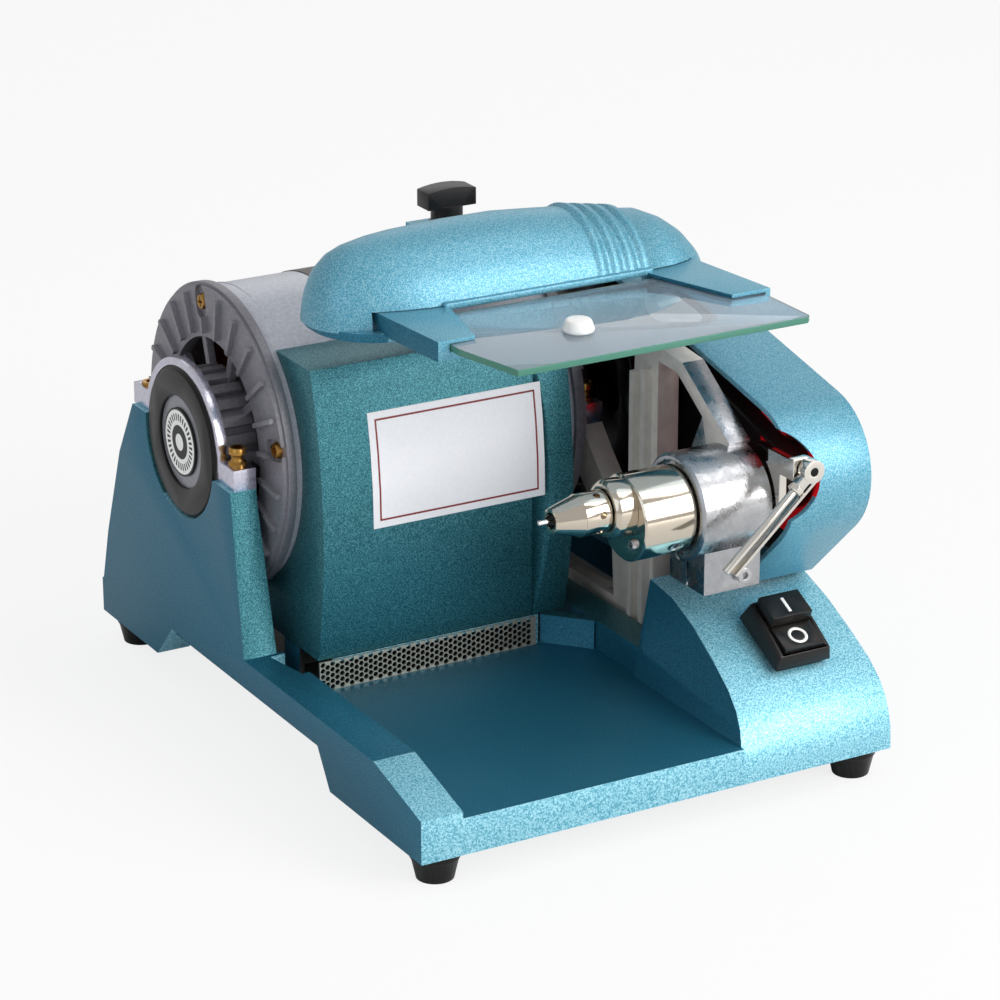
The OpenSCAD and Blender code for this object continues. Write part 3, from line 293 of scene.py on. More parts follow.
    # black hollow where no light falls
    done["dark"] = plain("casting in painted shade", "#0B0E10", {"Roughness": 0.7}, spread=0.2)
    # faintly blue and hazy on its faces, green at its edge
    done["glass"] = glass("float glass", "#D6E6F2", 0.8, 0.0)
    done["glass_edge"] = glass("ground glass edge", "#4A8A76", 0.3, 0.25)
    # milky white tube
    done["lamp"] = plain("frosted lamp glass", "#F1F1EE", {"Roughness": 0.4}, spread=0.02)
    return done


# group, then node: (finish, width in mm of its rounded edges, 0 where the solid stays as it is)
GROUPS = {
    "base": {
        "base_casting": ("enamel", 2.0), "motor_shield": ("sheet", 1.0),
        "base_feet": ("rubber", 1.2), "foot_screws": ("zinc", 0.2),
        "shield_screws": ("zinc", 0.2), "cable_gland": ("black", 0.4),
    },
    "motor": {
        "motor_shell": ("motor_grey", 0.5), "left_end_bell": ("bell", 0.5),
        "right_end_bell": ("bell", 0.5), "bell_screws": ("brass", 0.2),
        "stator_core": ("dark_steel", 0), "stator_windings": ("copper", 0),
        "rotor_core": ("dark_steel", 0), "motor_shaft": ("steel", 0),
        "motor_bearings": ("steel", 0), "rubber_rings": ("rubber", 1.0),
        "cradle_straps": ("strap", 0.6), "motor_nameplate": ("plate", 0.1),
    },
    "drive": {
        "motor_pulley": ("iron", 0.5), "spindle_pulley": ("black", 0.4),
        "drive_belt": ("belt", 0.3), "spindle_locknut": ("steel", 0.4),
    },
    "head": {
        "head_bracket": ("cast", 0.9), "bracket_bolts": ("zinc", 0),
        "spindle_cartridge": ("nickel", 0.4), "nose_collar": ("nickel", 0.3),
        "spindle_bearings": ("steel", 0), "spindle_shaft": ("steel", 0),
        "collet_nut": ("nickel", 0.3), "collet": ("dark_steel", 0.2), "shank": ("steel", 0.2),
        "clamp_screw": ("zinc", 0.3), "cartridge_screws": ("zinc", 0),
    },
    "lever": {
        "lever_arm": ("steel", 0.4), "lever_pin": ("dark_steel", 0.3),
        "lever_eye": ("steel", 0.4), "lever_nut": ("steel", 0.3), "lever_rod": ("steel", 0.5),
    },
    "guard": {
        "belt_guard": ("guard", 1.2), "guard_liner": ("red", 0.3), "guard_screws": ("zinc", 0.2),
    },
    "hood": {
        "hood_frame": ("guard", 1.0), "hood_post": ("enamel", 1.0), "lamp_tube": ("lamp", 0),
        "lamp_holders": ("white", 0.6), "clamp_stud": ("zinc", 0), "clamp_knob": ("black", 1.2),
        "frame_screws": ("brass", 0.2),
    },
    "screen": {"glass_screen": ("glass", 0.3), "glass_knob": ("white", 1.0)},
    "switch": {
        "switch_body": ("black", 0.8), "key_on": ("black", 1.6), "key_off": ("black", 1.6),
    },
}

# pairs of radius and height in mm, from the foot up: a waisted nut and a low socket head
NUT = ((4.3, 0), (4.3, 1.4), (3.1, 2.2), (2.7, 3.4), (3.1, 4.8), (3.9, 5.6), (3.9, 8.0),
       (3.4, 8.6), (2.2, 8.6), (2.2, 5.0))
SOCKET_HEAD = ((4.3, 0), (4.3, 1.0), (3.9, 1.4), (2.2, 1.4), (2.2, 0.4))
# heights over the base's lower edge, in mm, where the straps carry them
NUT_SEAT, HEAD_SEAT = 118, 129

# the lamp hood's rings in mm: place along X, height over the rim and half the depth
DOME_LEFT = ((24.8, 4, 4), (26, 12, 9), (29, 20, 14), (33, 26, 18.5), (39, 30.5, 22.5),
             (46, 33, 25.5), (58, 35, 29), (70, 36, 31), (95, 37, 32), (120, 37, 32),
             (137, 35.6, 32), (152, 34.2, 32))
DOME_RIGHT = ((193, 27.5, 31), (203, 23, 28.5), (210, 18, 24.5), (216.5, 11, 17), (220.6, 4, 8))
# the axis of the rings, which is also the height of the hood's rim
DOME_Y, RIM_Z = 146, 191
# where the first rib starts, the step to the next, and how each is lower than the last
RIB_COUNT, RIB_X, RIB_STEP, RIB_HEIGHT, RIB_FALL = 4, 154, 7.4, 33.7, 1.3


# ---- settings ----
class LatheGrilleSettings(bpy.types.PropertyGroup):
    pitch: bpy.props.FloatProperty(
        name="Pitch", description="Distance between the holes of one column",
        default=0.0028, subtype="DISTANCE", unit="LENGTH")
    hole: bpy.props.FloatProperty(
        name="Hole", description="Width of a hexagonal hole across its flats",
        default=0.00235, subtype="DISTANCE", unit="LENGTH")


class LatheHoodSettings(bpy.types.PropertyGroup):
    wall: bpy.props.FloatProperty(
        name="Wall", description="Thickness of the cast dome",
        default=0.003, subtype="DISTANCE", unit="LENGTH")
    rib: bpy.props.FloatProperty(
        name="Rib", description="Height of the four low ribs on the right shoulder",
        default=0.0019, subtype="DISTANCE", unit="LENGTH")
    facets: bpy.props.IntProperty(
        name="Facets", description="Corners of each ring that the dome is lofted through",
        default=96)


class LatheMedallionSettings(bpy.types.PropertyGroup):
    radius: bpy.props.FloatProperty(
        name="Radius", description="Radius of the round plate on the motor hub",
        default=0.016, subtype="DISTANCE", unit="LENGTH")
    ticks: bpy.props.IntProperty(
        name="Ticks", description="Number of plain white ticks in its ring", default=32)


class LatheLabelSettings(bpy.types.PropertyGroup):
    margin: bpy.props.FloatProperty(
        name="Margin", description="White edge outside the printed border",
        default=0.0032, subtype="DISTANCE", unit="LENGTH")
    line: bpy.props.FloatProperty(
        name="Line", description="Width of the printed border",
        default=0.0009, subtype="DISTANCE", unit="LENGTH")


class LatheSwitchSettings(bpy.types.PropertyGroup):
    ring_radius: bpy.props.FloatProperty(
        name="Ring radius", description="Middle radius of the off mark",
        default=0.0039, subtype="DISTANCE", unit="LENGTH")
    stroke: bpy.props.FloatProperty(
        name="Stroke", description="Width of the strokes of both marks",
        default=0.0015, subtype="DISTANCE", unit="LENGTH")


class LatheStageSettings(bpy.types.PropertyGroup):
    key: bpy.props.FloatProperty(
        name="Key", description="Power of the key softbox", default=38.0, unit="POWER")
    fill: bpy.props.FloatProperty(
        name="Fill", description="Power of the fill softbox", default=4.0, unit="POWER")
    top: bpy.props.FloatProperty(
        name="Top", description="Power of the top softbox", default=5.0, unit="POWER")
    rear: bpy.props.FloatProperty(
        name="Rear", description="Power of the rear softbox", default=2.0, unit="POWER")
    ambient: bpy.props.FloatProperty(
        name="Ambient", description="Strength of the studio's own light", default=0.6)


# ---- modelling ----
def clear():
    """Leaves edit mode with nothing selected."""
    if bpy.context.object and bpy.context.object.mode != "OBJECT":
        bpy.ops.object.mode_set(mode="OBJECT")
    bpy.ops.object.select_all(action="DESELECT")


def only(piece):
    """Selects one object alone and makes it active."""
    clear()
    piece.select_set(True)
    bpy.context.view_layer.objects.active = piece


def apply(piece, kind, **settings):
    """Adds a modifier with its settings and applies it."""
    only(piece)
    step = piece.modifiers.new(kind.lower(), kind)
    for key, value in settings.items():
        setattr(step, key, value)
    bpy.ops.object.modifier_apply(modifier=step.name)


def edit_all(piece):
    """Edit mode with the whole mesh selected."""
    only(piece)
    bpy.ops.object.mode_set(mode="EDIT")
    bpy.ops.mesh.select_all(action="SELECT")


def cut(piece, place, normal, **settings):
    """Cuts a mesh along a plane and keeps both sides, unless the settings clear one."""
    edit_all(piece)
    bpy.ops.mesh.bisect(plane_co=place, plane_no=normal, **settings)
    bpy.ops.object.mode_set(mode="OBJECT")


def copied(node):
    """A merged copy of a solid's mesh that stands for it."""
    piece = bpy.data.objects.new(node + "_finished", NODES[node].data.copy())
    bpy.context.scene.collection.objects.link(piece)
    piece.data.materials.clear()
    edit_all(piece)
    bpy.ops.mesh.remove_doubles(threshold=0.00002)
    bpy.ops.mesh.dissolve_limited(angle_limit=math.radians(2))
    bpy.ops.object.mode_set(mode="OBJECT")
    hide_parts(node)
    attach(piece, NODES[node]["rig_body"])
    return piece


def smooth(piece, angle=30):
    """Smooth shading that keeps the edges sharper than the angle."""
    only(piece)
    bpy.ops.object.shade_smooth_by_angle(angle=math.radians(angle))


def rounded(node, width):
    """A copy of a solid with its sharp edges rounded."""
    piece = copied(node)
    apply(piece, "BEVEL", width=width * MM, segments=3, limit_method="ANGLE",
          angle_limit=math.radians(35))
    smooth(piece)
    return piece


def dress(piece, finish_name):
    """Gives a piece one finish all over."""
    piece.data.materials.clear()
    piece.data.materials.append(finishes()[finish_name])


def paint(piece, finish_name, chosen):
    """Gives a finish to the faces that chosen(x, y, z, normal) picks, in mm from the corner."""
    piece.data.materials.append(finishes()[finish_name])
    index = len(piece.data.materials) - 1
    for face in piece.data.polygons:
        if chosen(*from_corner(face.center), face.normal):
            face.material_index = index


def finish_group(group):
    """Rounds and dresses every node of a group, and gives the pieces by node."""
    made = {}
    for node, (finish_name, width) in GROUPS[group].items():
        made[node] = rounded(node, width) if width else NODES[node]
        dress(made[node], finish_name)
    return made


def settle(piece, name, node, body):
    """Names a new piece, freezes its place into its mesh, hides the solid that it replaces and ties
    it to its body.
    """
    piece.name = name
    only(piece)
    bpy.ops.object.transform_apply(location=True, rotation=True, scale=True)
    if node:
        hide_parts(node)
    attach(piece, body)


def turned(foot, profile):
    """A round piece built up along Z from pairs of radius and height in mm."""
    clear()
    bpy.ops.mesh.primitive_circle_add(
        vertices=32, radius=profile[0][0] * MM, fill_type="NGON", location=foot)
    piece = bpy.context.object
    bpy.ops.object.mode_set(mode="EDIT")
    bpy.ops.mesh.select_all(action="SELECT")
    for (wide, low), (next_wide, high) in zip(profile, profile[1:]):
        bpy.ops.mesh.extrude_region_move(
            TRANSFORM_OT_translate={"value": (0, 0, (high - low) * MM)})
        share = next_wide / wide
        bpy.ops.transform.resize(value=(share, share, 1),
                                 center_override=foot + Vector((0, 0, high * MM)))
    bpy.ops.mesh.select_all(action="SELECT")
    bpy.ops.mesh.fill_holes(sides=0)
    bpy.ops.mesh.select_all(action="SELECT")
    bpy.ops.mesh.normals_make_consistent(inside=False)
    bpy.ops.object.mode_set(mode="OBJECT")
    return piece


def pick(piece, chosen):
    """Edit mode with only the faces that chosen(face) picks."""
    only(piece)
    bpy.ops.object.mode_set(mode="EDIT")
    bpy.ops.mesh.select_mode(type="FACE")
    bpy.ops.mesh.select_all(action="DESELECT")
    bpy.ops.object.mode_set(mode="OBJECT")
    for face in piece.data.polygons:
        face.select = chosen(face)
    bpy.ops.object.mode_set(mode="EDIT")


# ---- operators ----
class LATHE_OT_base(bpy.types.Operator):
    """Finishes the casting, its feet, the sheet cover over the motor and the grille"""

    bl_idname = "lathe.base"
    bl_label = "Base and motor cover"

    def execute(self, context):
        made = finish_group("base")
        casting = made["base_casting"]
        low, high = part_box("suction_mesh")
        left, _, _ = from_corner(low)
        right, back, _ = from_corner(high)
        # the tray's floor and the rail beside it, in mm
        floor_top, rail_width, rail_top = 18, 21, 33

        def shaded(x, y, z, n):
            """The left flanks, the floor of the tray and the top of the rail, which get painted
            shade.
            """
            level = z < floor_top or (x < rail_width and z < rail_top)
            return n.x < -0.7 or (n.z > 0.985 and level)

        def darkened(x, y, z, n):
            """The band down the pedestal's front and the step at the foot of the bracket, which
            take the cover's darker enamel as painted shade.
            """
            band = x < 20 and y > 160 and z > 30 and n.y < -0.5
            step = 138 < x < 182 and 84 < y < 200 and 17.5 < z < rail_top and n.x > -0.7
            return band or step

        def unlit(x, y, z, n):
            """The duct behind the grille and the floor under the motor."""
            duct = left + 2 < x < right - 2 and back + 0.5 < y < back + 40 and 14 < z < 34
            under = n.z > 0.9 and 16 < z < floor_top and back + 1 < y < 290 and 4 < x < 198
            return duct or under

        # the floor's faces end where the light ends
        cut(casting, at(0, back + 1.5, 0), (0, 1, 0))
        # the tray's floor, the rail's top and the left flanks take the darker enamel as painted
        # shade
        paint(casting, "enamel_in_shade", shaded)
        # the band and the step take the sheet cover's darker enamel as painted shade
        paint(casting, "sheet", darkened)
        # the duct and the floor under the motor are painted near black as shade
        paint(casting, "dark", unlit)
        self.grille(context, low, high)
        return {"FINISHED"}

    def grille(self, context, low, high):
        """Staggered hexagonal holes cut through a thin strip, with narrow webs left between."""
        look = context.scene.lathe_grille
        clear()
        bpy.ops.mesh.primitive_cube_add(size=1, location=(low + high) / 2, scale=high - low)
        plate = context.object
        settle(plate, "hexagonal_grille", "suction_mesh", "frame")
        step = look.pitch * math.sqrt(3) / 2
        columns = int((high.x - low.x) / step / 2)
        for first, rows in ((0, 5), (1, 4)):
            clear()
            bpy.ops.mesh.primitive_cylinder_add(
                vertices=6, radius=look.hole / math.sqrt(3), depth=6 * MM,
                rotation=(math.pi / 2, math.pi / 6, 0),
                location=(low.x + 1.6 * MM + first * step, (low.y + high.y) / 2,
                          low.z + (1 + first) * look.pitch / 2))
            cutter = context.object
            only(cutter)
            bpy.ops.object.transform_apply(location=True, rotation=True, scale=True)
            apply(cutter, "ARRAY", count=columns - first, use_relative_offset=False,
                  use_constant_offset=True, constant_offset_displace=(2 * step, 0, 0))
            apply(cutter, "ARRAY", count=rows, use_relative_offset=False,
                  use_constant_offset=True, constant_offset_displace=(0, 0, look.pitch))
            apply(plate, "BOOLEAN", object=cutter, operation="DIFFERENCE", solver="EXACT")
            only(cutter)
            bpy.ops.object.delete()
        dress(plate, "grille")


class LATHE_OT_motor(bpy.types.Operator):
    """Finishes the motor, with the rolled seam of its shell and the plate on its hub"""

    bl_idname = "lathe.motor"
    bl_label = "Motor"

    def execute(self, context):
        made = finish_group("motor")
        low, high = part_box("motor_shell")
        centre = (low + high) / 2
        radius = (high.z - low.z) / 2
        for side, x in (("left", low.x + 8 * MM), ("right", high.x - 8 * MM)):
            clear()
            bpy.ops.mesh.primitive_torus_add(
                major_radius=radius - 0.1 * MM, minor_radius=0.45 * MM, major_segments=160,
                minor_segments=8, location=(x, centre.y, centre.z), rotation=(0, math.pi / 2, 0))
            seam = context.object
            settle(seam, f"motor_seam_{side}", None, "frame")
            smooth(seam, 60)
            dress(seam, "motor_grey")
        paint(made["left_end_bell"], "hub", lambda x, y, z, n: n.x < -0.9 and x < 4)
        self.medallion(context)
        self.nuts()
        return {"FINISHED"}

    def nuts(self):
        """A waisted nut in front and a low socket head behind on each strap."""
        low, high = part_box("strap_screws")
        reach = 4.5 * MM
        nuts = []
        for x in (low.x + reach, high.x - reach):
            nuts.append(turned(Vector((x, low.y + reach, at(0, 0, NUT_SEAT).z)), NUT))
            nuts.append(turned(Vector((x, high.y - reach, at(0, 0, HEAD_SEAT).z)), SOCKET_HEAD))
        only(nuts[0])
        for nut in nuts:
            nut.select_set(True)
        bpy.ops.object.join()
        settle(nuts[0], "strap_nuts", "strap_screws", "frame")
        smooth(nuts[0], 40)
        dress(nuts[0], "brass")

    def medallion(self, context):
        """A round plate with plain rings and a ring of ticks, and nothing written on it."""
        look = context.scene.lathe_medallion
        low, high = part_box("hub_emblem")
        y, z = (low.y + high.y) / 2, (low.z + high.z) / 2
        clear()
        bpy.ops.mesh.primitive_cylinder_add(
            vertices=look.ticks * 2, radius=look.radius, depth=high.x - low.x,
            location=((low.x + high.x) / 2, y, z), rotation=(0, -math.pi / 2, 0))
        plate = context.object
        settle(plate, "hub_medallion", "hub_emblem", "frame")
        pick(plate, lambda face: face.normal.x < -0.9)
        # each inset leaves a ring of faces between two radii
        for share in (0.06, 0.05, 0.06, 0.20, 0.06, 0.07, 0.25):
            bpy.ops.mesh.inset(thickness=look.radius * share)
        bpy.ops.transform.translate(value=(-0.15 * MM, 0, 0))
        bpy.ops.object.mode_set(mode="OBJECT")
        dress(plate, "ink")
        corner = Vector((0, y, z))

        def white(face_x, face_y, face_z, normal):
            point = at(face_x, face_y, face_z) - corner
            distance = math.hypot(point.y, point.z) / look.radius
            turn = math.atan2(point.z, point.y) / (2 * math.pi) * look.ticks
            ring = 0.83 < distance < 0.95 or 0.5 < distance < 0.63 or distance < 0.25
            tick = 0.63 < distance < 0.83 and int(math.floor(turn * 2)) % 2 == 0
            return normal.x < -0.9 and (ring or tick)

        paint(plate, "white", white)
        smooth(plate)


class LATHE_OT_drive(bpy.types.Operator):
    """Finishes the pulleys, the belt and the nut on the spindle"""

    bl_idname = "lathe.drive"
    bl_label = "Belt drive"

    def execute(self, context):
        finish_group("drive")
        return {"FINISHED"}


class LATHE_OT_head(bpy.types.Operator):
    """Finishes the cast bracket, the eccentric cartridge and the collet nose"""

    bl_idname = "lathe.head"
    bl_label = "Spindle head"

    def execute(self, context):
        made = finish_group("head")
        # the clamp barrel keeps its tumbled skin; the leg and strut behind it take the paler matt
        # copy as painted light
        barrel_end = 86
        paint(made["head_bracket"], "leg", lambda x, y, z, n: y > barrel_end)
        return {"FINISHED"}


class LATHE_OT_lever(bpy.types.Operator):
    """Finishes the clamp lever"""

    bl_idname = "lathe.lever"
    bl_label = "Lever"

    def execute(self, context):
        finish_group("lever")
        return {"FINISHED"}


class LATHE_OT_guard(bpy.types.Operator):
    """Finishes the belt guard, enamel outside and red inside"""

    bl_idname = "lathe.guard"
    bl_label = "Belt guard"

    def execute(self, context):
        made = finish_group("guard")
        # depth and height in mm of the two pulleys that the guard runs round
        motor = Vector((229.0, 115.5))
        nose = Vector((56.0, 120.0))
        line = nose - motor
        # the guard's hollow side starts here, and its red shows up to these depths
        hollow_x, red_end, liner_red_end = 200, 112, 104

        def inside(x, y, z, normal):
            """The inner faces: the side plate's, and those of the rim that face the belt's line."""
            if normal.x < -0.9 and x > hollow_x:
                return True
            place = Vector((y, z))
            share = min(1, max(0, (place - motor).dot(line) / line.length_squared))
            inward = motor + line * share - place
            return abs(normal.x) < 0.3 and inward.x * normal.y + inward.y * normal.z > 0

        # the guard's inner faces are nearly black as painted shade, red only near the nose
        paint(made["belt_guard"], "red_in_shade", inside)
        # near the nose the inner faces take the red with its painted glow
        paint(made["belt_guard"], "red", lambda x, y, z, n: y < red_end and inside(x, y, z, n))
        cut(made["guard_liner"], at(0, liner_red_end, 0), (0, 1, 0))
        # beyond the nose the liner is nearly black as painted shade
        paint(made["guard_liner"], "red_in_shade", lambda x, y, z, n: y > liner_red_end)
        return {"FINISHED"}


class LATHE_OT_hood(bpy.types.Operator):
    """Rebuilds the lamp hood as one soft cast dome and finishes its frame, lamp and knob"""

    bl_idname = "lathe.hood"
    bl_label = "Lamp hood"

    def execute(self, context):
        made = finish_group("hood")
        # the arms' left sides lie in shade
        paint(made["hood_frame"], "enamel_in_shade", lambda x, y, z, n: n.x < -0.3 and abs(n.z) < 0.5)
        dome = self.loft(context)
        self.cut_lip(dome)
        # the tab under the knob is kept from the solid, cut off behind the dome
        tab = copied("hood_shell")
        cut(tab, at(0, 177, 0), (0, 1, 0), use_fill=True, clear_inner=True)
        dome.select_set(True)
        bpy.ops.object.join()
        smooth(tab, 40)
        dress(tab, "guard")
        # the rim that the dome stands on between the two arms
        clear()
        bpy.ops.mesh.primitive_cube_add(size=1, location=at(128, 116.5, 200.2),
                                        scale=(0.106, 0.0066, 0.0032))
        rim = context.object
        settle(rim, "hood_rim", None, NODES["hood_shell"]["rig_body"])
        apply(rim, "BEVEL", width=0.8 * MM, segments=3)
        smooth(rim)
        dress(rim, "guard")
        return {"FINISHED"}

    def loft(self, context):
        """Bridges a row of rings along X, from the steep left end over the crown to the right."""
        look = context.scene.lathe_hood
        rib = look.rib / MM
        rings = list(DOME_LEFT)
        for i in range(RIB_COUNT):
            x, height = RIB_X + i * RIB_STEP, RIB_HEIGHT - i * RIB_FALL
            rings += [(x, height, 32), (x + 1.0, height + rib, 32.4),
                      (x + 4.2, height + rib - 0.6, 32.4), (x + 5.2, height - 0.8, 31.8)]
        rings += DOME_RIGHT
        clear()
        for i, (x, height, depth) in enumerate(rings):
            centre = at(x, DOME_Y, RIM_Z)
            bpy.ops.mesh.primitive_circle_add(
                vertices=look.facets, radius=MM, location=centre, rotation=(0, math.pi / 2, 0))
            if i == 0:
                dome = context.object
                only(dome)
                bpy.ops.object.transform_apply(location=True, rotation=True, scale=True)
                edit_all(dome)
            bpy.ops.transform.resize(value=(1, depth, height), center_override=centre)
        bpy.ops.mesh.select_all(action="SELECT")
        bpy.ops.mesh.bridge_edge_loops()
        bpy.ops.mesh.select_all(action="SELECT")
        bpy.ops.mesh.fill_holes(sides=0)
        bpy.ops.mesh.select_all(action="SELECT")
        bpy.ops.mesh.bisect(plane_co=at(0, 0, RIM_Z), plane_no=(0, 0, 1), clear_inner=True)
        bpy.ops.mesh.select_all(action="SELECT")
        bpy.ops.mesh.normals_make_consistent(inside=False)
        bpy.ops.object.mode_set(mode="OBJECT")
        apply(dome, "SOLIDIFY", thickness=look.wall, offset=-1.0)
        return dome

    def cut_lip(self, dome):
        """Cuts the front lip up to the level of the two arms."""
        clear()
        bpy.ops.mesh.primitive_cube_add(size=1, location=at(125, 118, 193.2),
                                        scale=(0.162, 0.028, 0.0144))
        cutter = bpy.context.object
        apply(dome, "BOOLEAN", object=cutter, operation="DIFFERENCE", solver="EXACT")
        only(cutter)
        bpy.ops.object.delete()


class LATHE_OT_screen(bpy.types.Operator):
    """Finishes the sliding glass with its green edge and white knob"""

    bl_idname = "lathe.screen"
    bl_label = "Glass screen"

    def execute(self, context):
        made = finish_group("screen")
        paint(made["glass_screen"], "glass_edge", lambda x, y, z, n: abs(n.z) < 0.8)
        return {"FINISHED"}


class LATHE_OT_switch(bpy.types.Operator):
    """Finishes the switch and sets a white bar and ring into its keys"""

    bl_idname = "lathe.switch"
    bl_label = "Switch"

    def execute(self, context):
        finish_group("switch")
        look = context.scene.lathe_switch
        # the slope of the block, and the middle of the switch on it
        slope = math.radians(26)
        origin = at(203, 35, 47.2)

        def on_key(v, w):
            """A place v mm up the slope from the middle and w mm over the block."""
            return origin + Vector((0, v * math.cos(slope) - w * math.sin(slope),
                                    v * math.sin(slope) + w * math.cos(slope))) * MM

        clear()
        bpy.ops.mesh.primitive_torus_add(
            major_radius=look.ring_radius, minor_radius=look.stroke / 2, major_segments=48,
            minor_segments=10, location=on_key(-6.95, 9.85), rotation=(slope, 0, 0))
        ring = context.object
        ring.scale = (1, 1, 0.5)
        settle(ring, "off_mark", None, NODES["key_off"]["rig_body"])
        smooth(ring, 60)
        dress(ring, "white")
        clear()
        bpy.ops.mesh.primitive_cube_add(
            size=1, location=on_key(6.75, 15.35), rotation=(slope, 0, 0),
            scale=(look.stroke, 0.0084, 0.0006))
        bar = context.object
        settle(bar, "on_mark", None, NODES["key_on"]["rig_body"])
        apply(bar, "BEVEL", width=0.2 * MM, segments=3)
        smooth(bar)
        dress(bar, "white")
        return {"FINISHED"}


class LATHE_OT_label(bpy.types.Operator):
    """Prints a plain border on the blank label of the motor cover"""

    bl_idname = "lathe.label"
    bl_label = "Blank label"

    def execute(self, context):
        look = context.scene.lathe_label
        label = copied("warning_sticker")
        label.name = "blank_label"
        dress(label, "label")
        pick(label, lambda face: face.normal.y < -0.5)
        bpy.ops.mesh.inset(thickness=look.margin, use_boundary=True)
        bpy.ops.object.mode_set(mode="OBJECT")
        # the second inset leaves a ring of new faces, which is the printed line
        before = {tuple(round(v, 6) for v in face.center) for face in label.data.polygons}
        bpy.ops.object.mode_set(mode="EDIT")
        bpy.ops.mesh.inset(thickness=look.line, use_boundary=True)
        bpy.ops.object.mode_set(mode="OBJECT")
        label.data.materials.append(finishes()["print"])
        for face in label.data.polygons:
            fresh = tuple(round(v, 6) for v in face.center) not in before
            if fresh and not face.select:
                face.material_index = 1
        return {"FINISHED"}


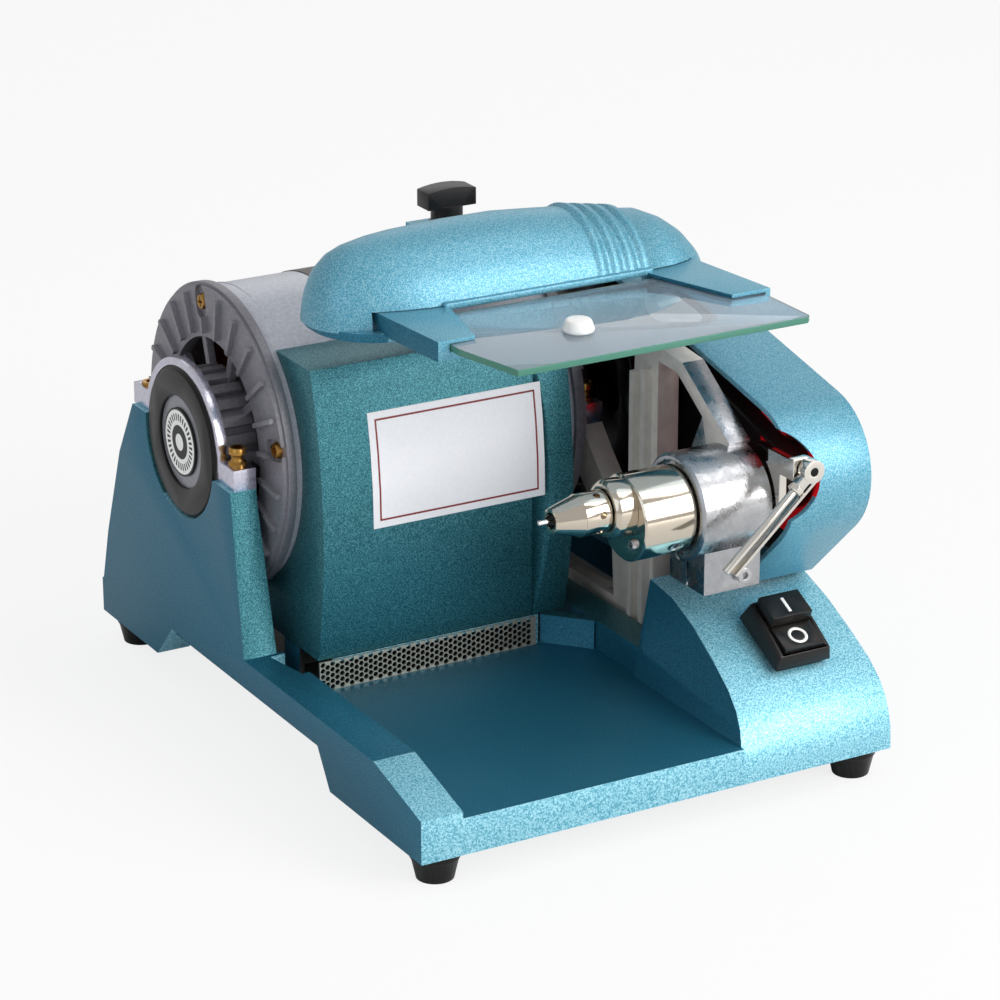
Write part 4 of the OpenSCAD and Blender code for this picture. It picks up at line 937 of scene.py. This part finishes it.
class LATHE_OT_stage(bpy.types.Operator):
    """Adds the camera, the pale floor and soft studio light"""

    bl_idname = "lathe.stage"
    bl_label = "Stage"

    def execute(self, context):
        look = context.scene.lathe_stage
        clear()
        bpy.ops.object.camera_add(location=(-0.797, -1.4156, 0.7176))
        camera = context.object
        camera.name = "studio_camera"
        camera.rotation_mode = "QUATERNION"
        camera.rotation_quaternion = Vector((0.4632, 0.8120, -0.3551)).to_track_quat("-Z", "Y")
        camera.data.lens = 136.8
        camera.data.sensor_width = 36.0
        camera.data.clip_start = 0.05
        context.scene.camera = camera
        self.floor()
        for name, place, aim, size, power, tint in (
            ("key_softbox", (0.95, -1.75, 0.95), (0, 0, 0.1), 1.3, look.key, (1, 0.98, 0.95)),
            ("fill_softbox", (-1.6, -0.8, 0.8), (0, 0, 0.1), 1.2, look.fill, (0.75, 0.86, 1)),
            ("top_softbox", (0.8, -0.5, 1.7), (0, 0, 0.1), 0.9, look.top, (1, 1, 1)),
            ("rear_softbox", (0.9, 1.5, 1.1), (0, 0, 0.15), 1.0, look.rear, (1, 1, 1)),
        ):
            bpy.ops.object.light_add(type="AREA", location=place)
            lamp = context.object
            lamp.name = name
            lamp.data.size = size
            lamp.data.energy = power
            lamp.data.color = tint
            lamp.rotation_mode = "QUATERNION"
            lamp.rotation_quaternion = (Vector(aim) - Vector(place)).to_track_quat("-Z", "Y")
        self.world(context, look.ambient)
        context.scene.view_settings.view_transform = "Standard"
        return {"FINISHED"}

    def floor(self):
        """A matt floor that the camera sees nearly white, so that only a faint shadow shows."""
        bpy.ops.mesh.primitive_plane_add(size=12.0, location=(0, 0, 0))
        floor = bpy.context.object
        floor.name = "studio_floor"
        material = bpy.data.materials.new("matt white floor")
        material.use_nodes = True
        tree = material.node_tree
        tree.nodes.clear()
        matt = add(tree, "ShaderNodeBsdfDiffuse", {"Color": (0.8, 0.8, 0.8, 1)})
        glow = add(tree, "ShaderNodeEmission", {"Color": (1, 1, 1, 1), "Strength": 1.0})
        path = add(tree, "ShaderNodeLightPath")
        share = add(tree, "ShaderNodeMath", {"operation": "MULTIPLY"})
        tree.links.new(path.outputs["Is Camera Ray"], share.inputs[0])
        share.inputs[1].default_value = 0.82
        blend = add(tree, "ShaderNodeMixShader")
        tree.links.new(share.outputs[0], blend.inputs[0])
        tree.links.new(matt.outputs[0], blend.inputs[1])
        tree.links.new(glow.outputs[0], blend.inputs[2])
        add(tree, "ShaderNodeOutputMaterial", links={"Surface": (blend, "Shader")})
        floor.data.materials.append(material)

    def world(self, context, ambient):
        """White behind the machine and through the glass, and a weaker light all round."""
        world = bpy.data.worlds.new("studio")
        context.scene.world = world
        world.use_nodes = True
        tree = world.node_tree
        tree.nodes.clear()
        path = add(tree, "ShaderNodeLightPath")
        seen = add(tree, "ShaderNodeMath", {"operation": "MAXIMUM"})
        tree.links.new(path.outputs["Is Camera Ray"], seen.inputs[0])
        tree.links.new(path.outputs["Is Transmission Ray"], seen.inputs[1])
        soft = add(tree, "ShaderNodeBackground", {"Color": (1, 1, 1, 1), "Strength": ambient})
        white = add(tree, "ShaderNodeBackground", {"Color": (1, 1, 1, 1), "Strength": 1.0})
        mix = add(tree, "ShaderNodeMixShader")
        tree.links.new(seen.outputs[0], mix.inputs[0])
        tree.links.new(soft.outputs[0], mix.inputs[1])
        tree.links.new(white.outputs[0], mix.inputs[2])
        add(tree, "ShaderNodeOutputWorld", links={"Surface": (mix, "Shader")})


SETTINGS = {
    "lathe_grille": LatheGrilleSettings,
    "lathe_hood": LatheHoodSettings,
    "lathe_medallion": LatheMedallionSettings,
    "lathe_label": LatheLabelSettings,
    "lathe_switch": LatheSwitchSettings,
    "lathe_stage": LatheStageSettings,
}
OPERATORS = (
    LATHE_OT_stage, LATHE_OT_base, LATHE_OT_label, LATHE_OT_motor, LATHE_OT_drive,
    LATHE_OT_head, LATHE_OT_lever, LATHE_OT_guard, LATHE_OT_hood, LATHE_OT_screen,
    LATHE_OT_switch,
)


class LATHE_PT_panel(bpy.types.Panel):
    """Lists the settings and the steps that build the finished look"""

    bl_idname = "LATHE_PT_panel"
    bl_label = "Bench collet lathe"
    bl_space_type = "VIEW_3D"
    bl_region_type = "UI"
    bl_category = "Lathe"

    def draw(self, context):
        for name, group in SETTINGS.items():
            box = self.layout.box()
            for key in group.__annotations__:
                box.prop(getattr(context.scene, name), key)
        for step in OPERATORS:
            self.layout.operator(step.bl_idname)


CLASSES = (*SETTINGS.values(), *OPERATORS, LATHE_PT_panel)


def register():
    for item in CLASSES:
        bpy.utils.register_class(item)
    for name, group in SETTINGS.items():
        setattr(bpy.types.Scene, name, bpy.props.PointerProperty(type=group))


def unregister():
    for name in SETTINGS:
        delattr(bpy.types.Scene, name)
    for item in reversed(CLASSES):
        bpy.utils.unregister_class(item)


def main():
    """Builds the machine."""
    register()
    bpy.ops.lathe.stage()
    bpy.ops.lathe.base()
    bpy.ops.lathe.label()
    bpy.ops.lathe.motor()
    bpy.ops.lathe.drive()
    bpy.ops.lathe.head()
    bpy.ops.lathe.lever()
    bpy.ops.lathe.guard()
    bpy.ops.lathe.hood()
    bpy.ops.lathe.screen()
    bpy.ops.lathe.switch()
    clear()
    bpy.context.view_layer.update()


if __name__ == "__main__":
    main()
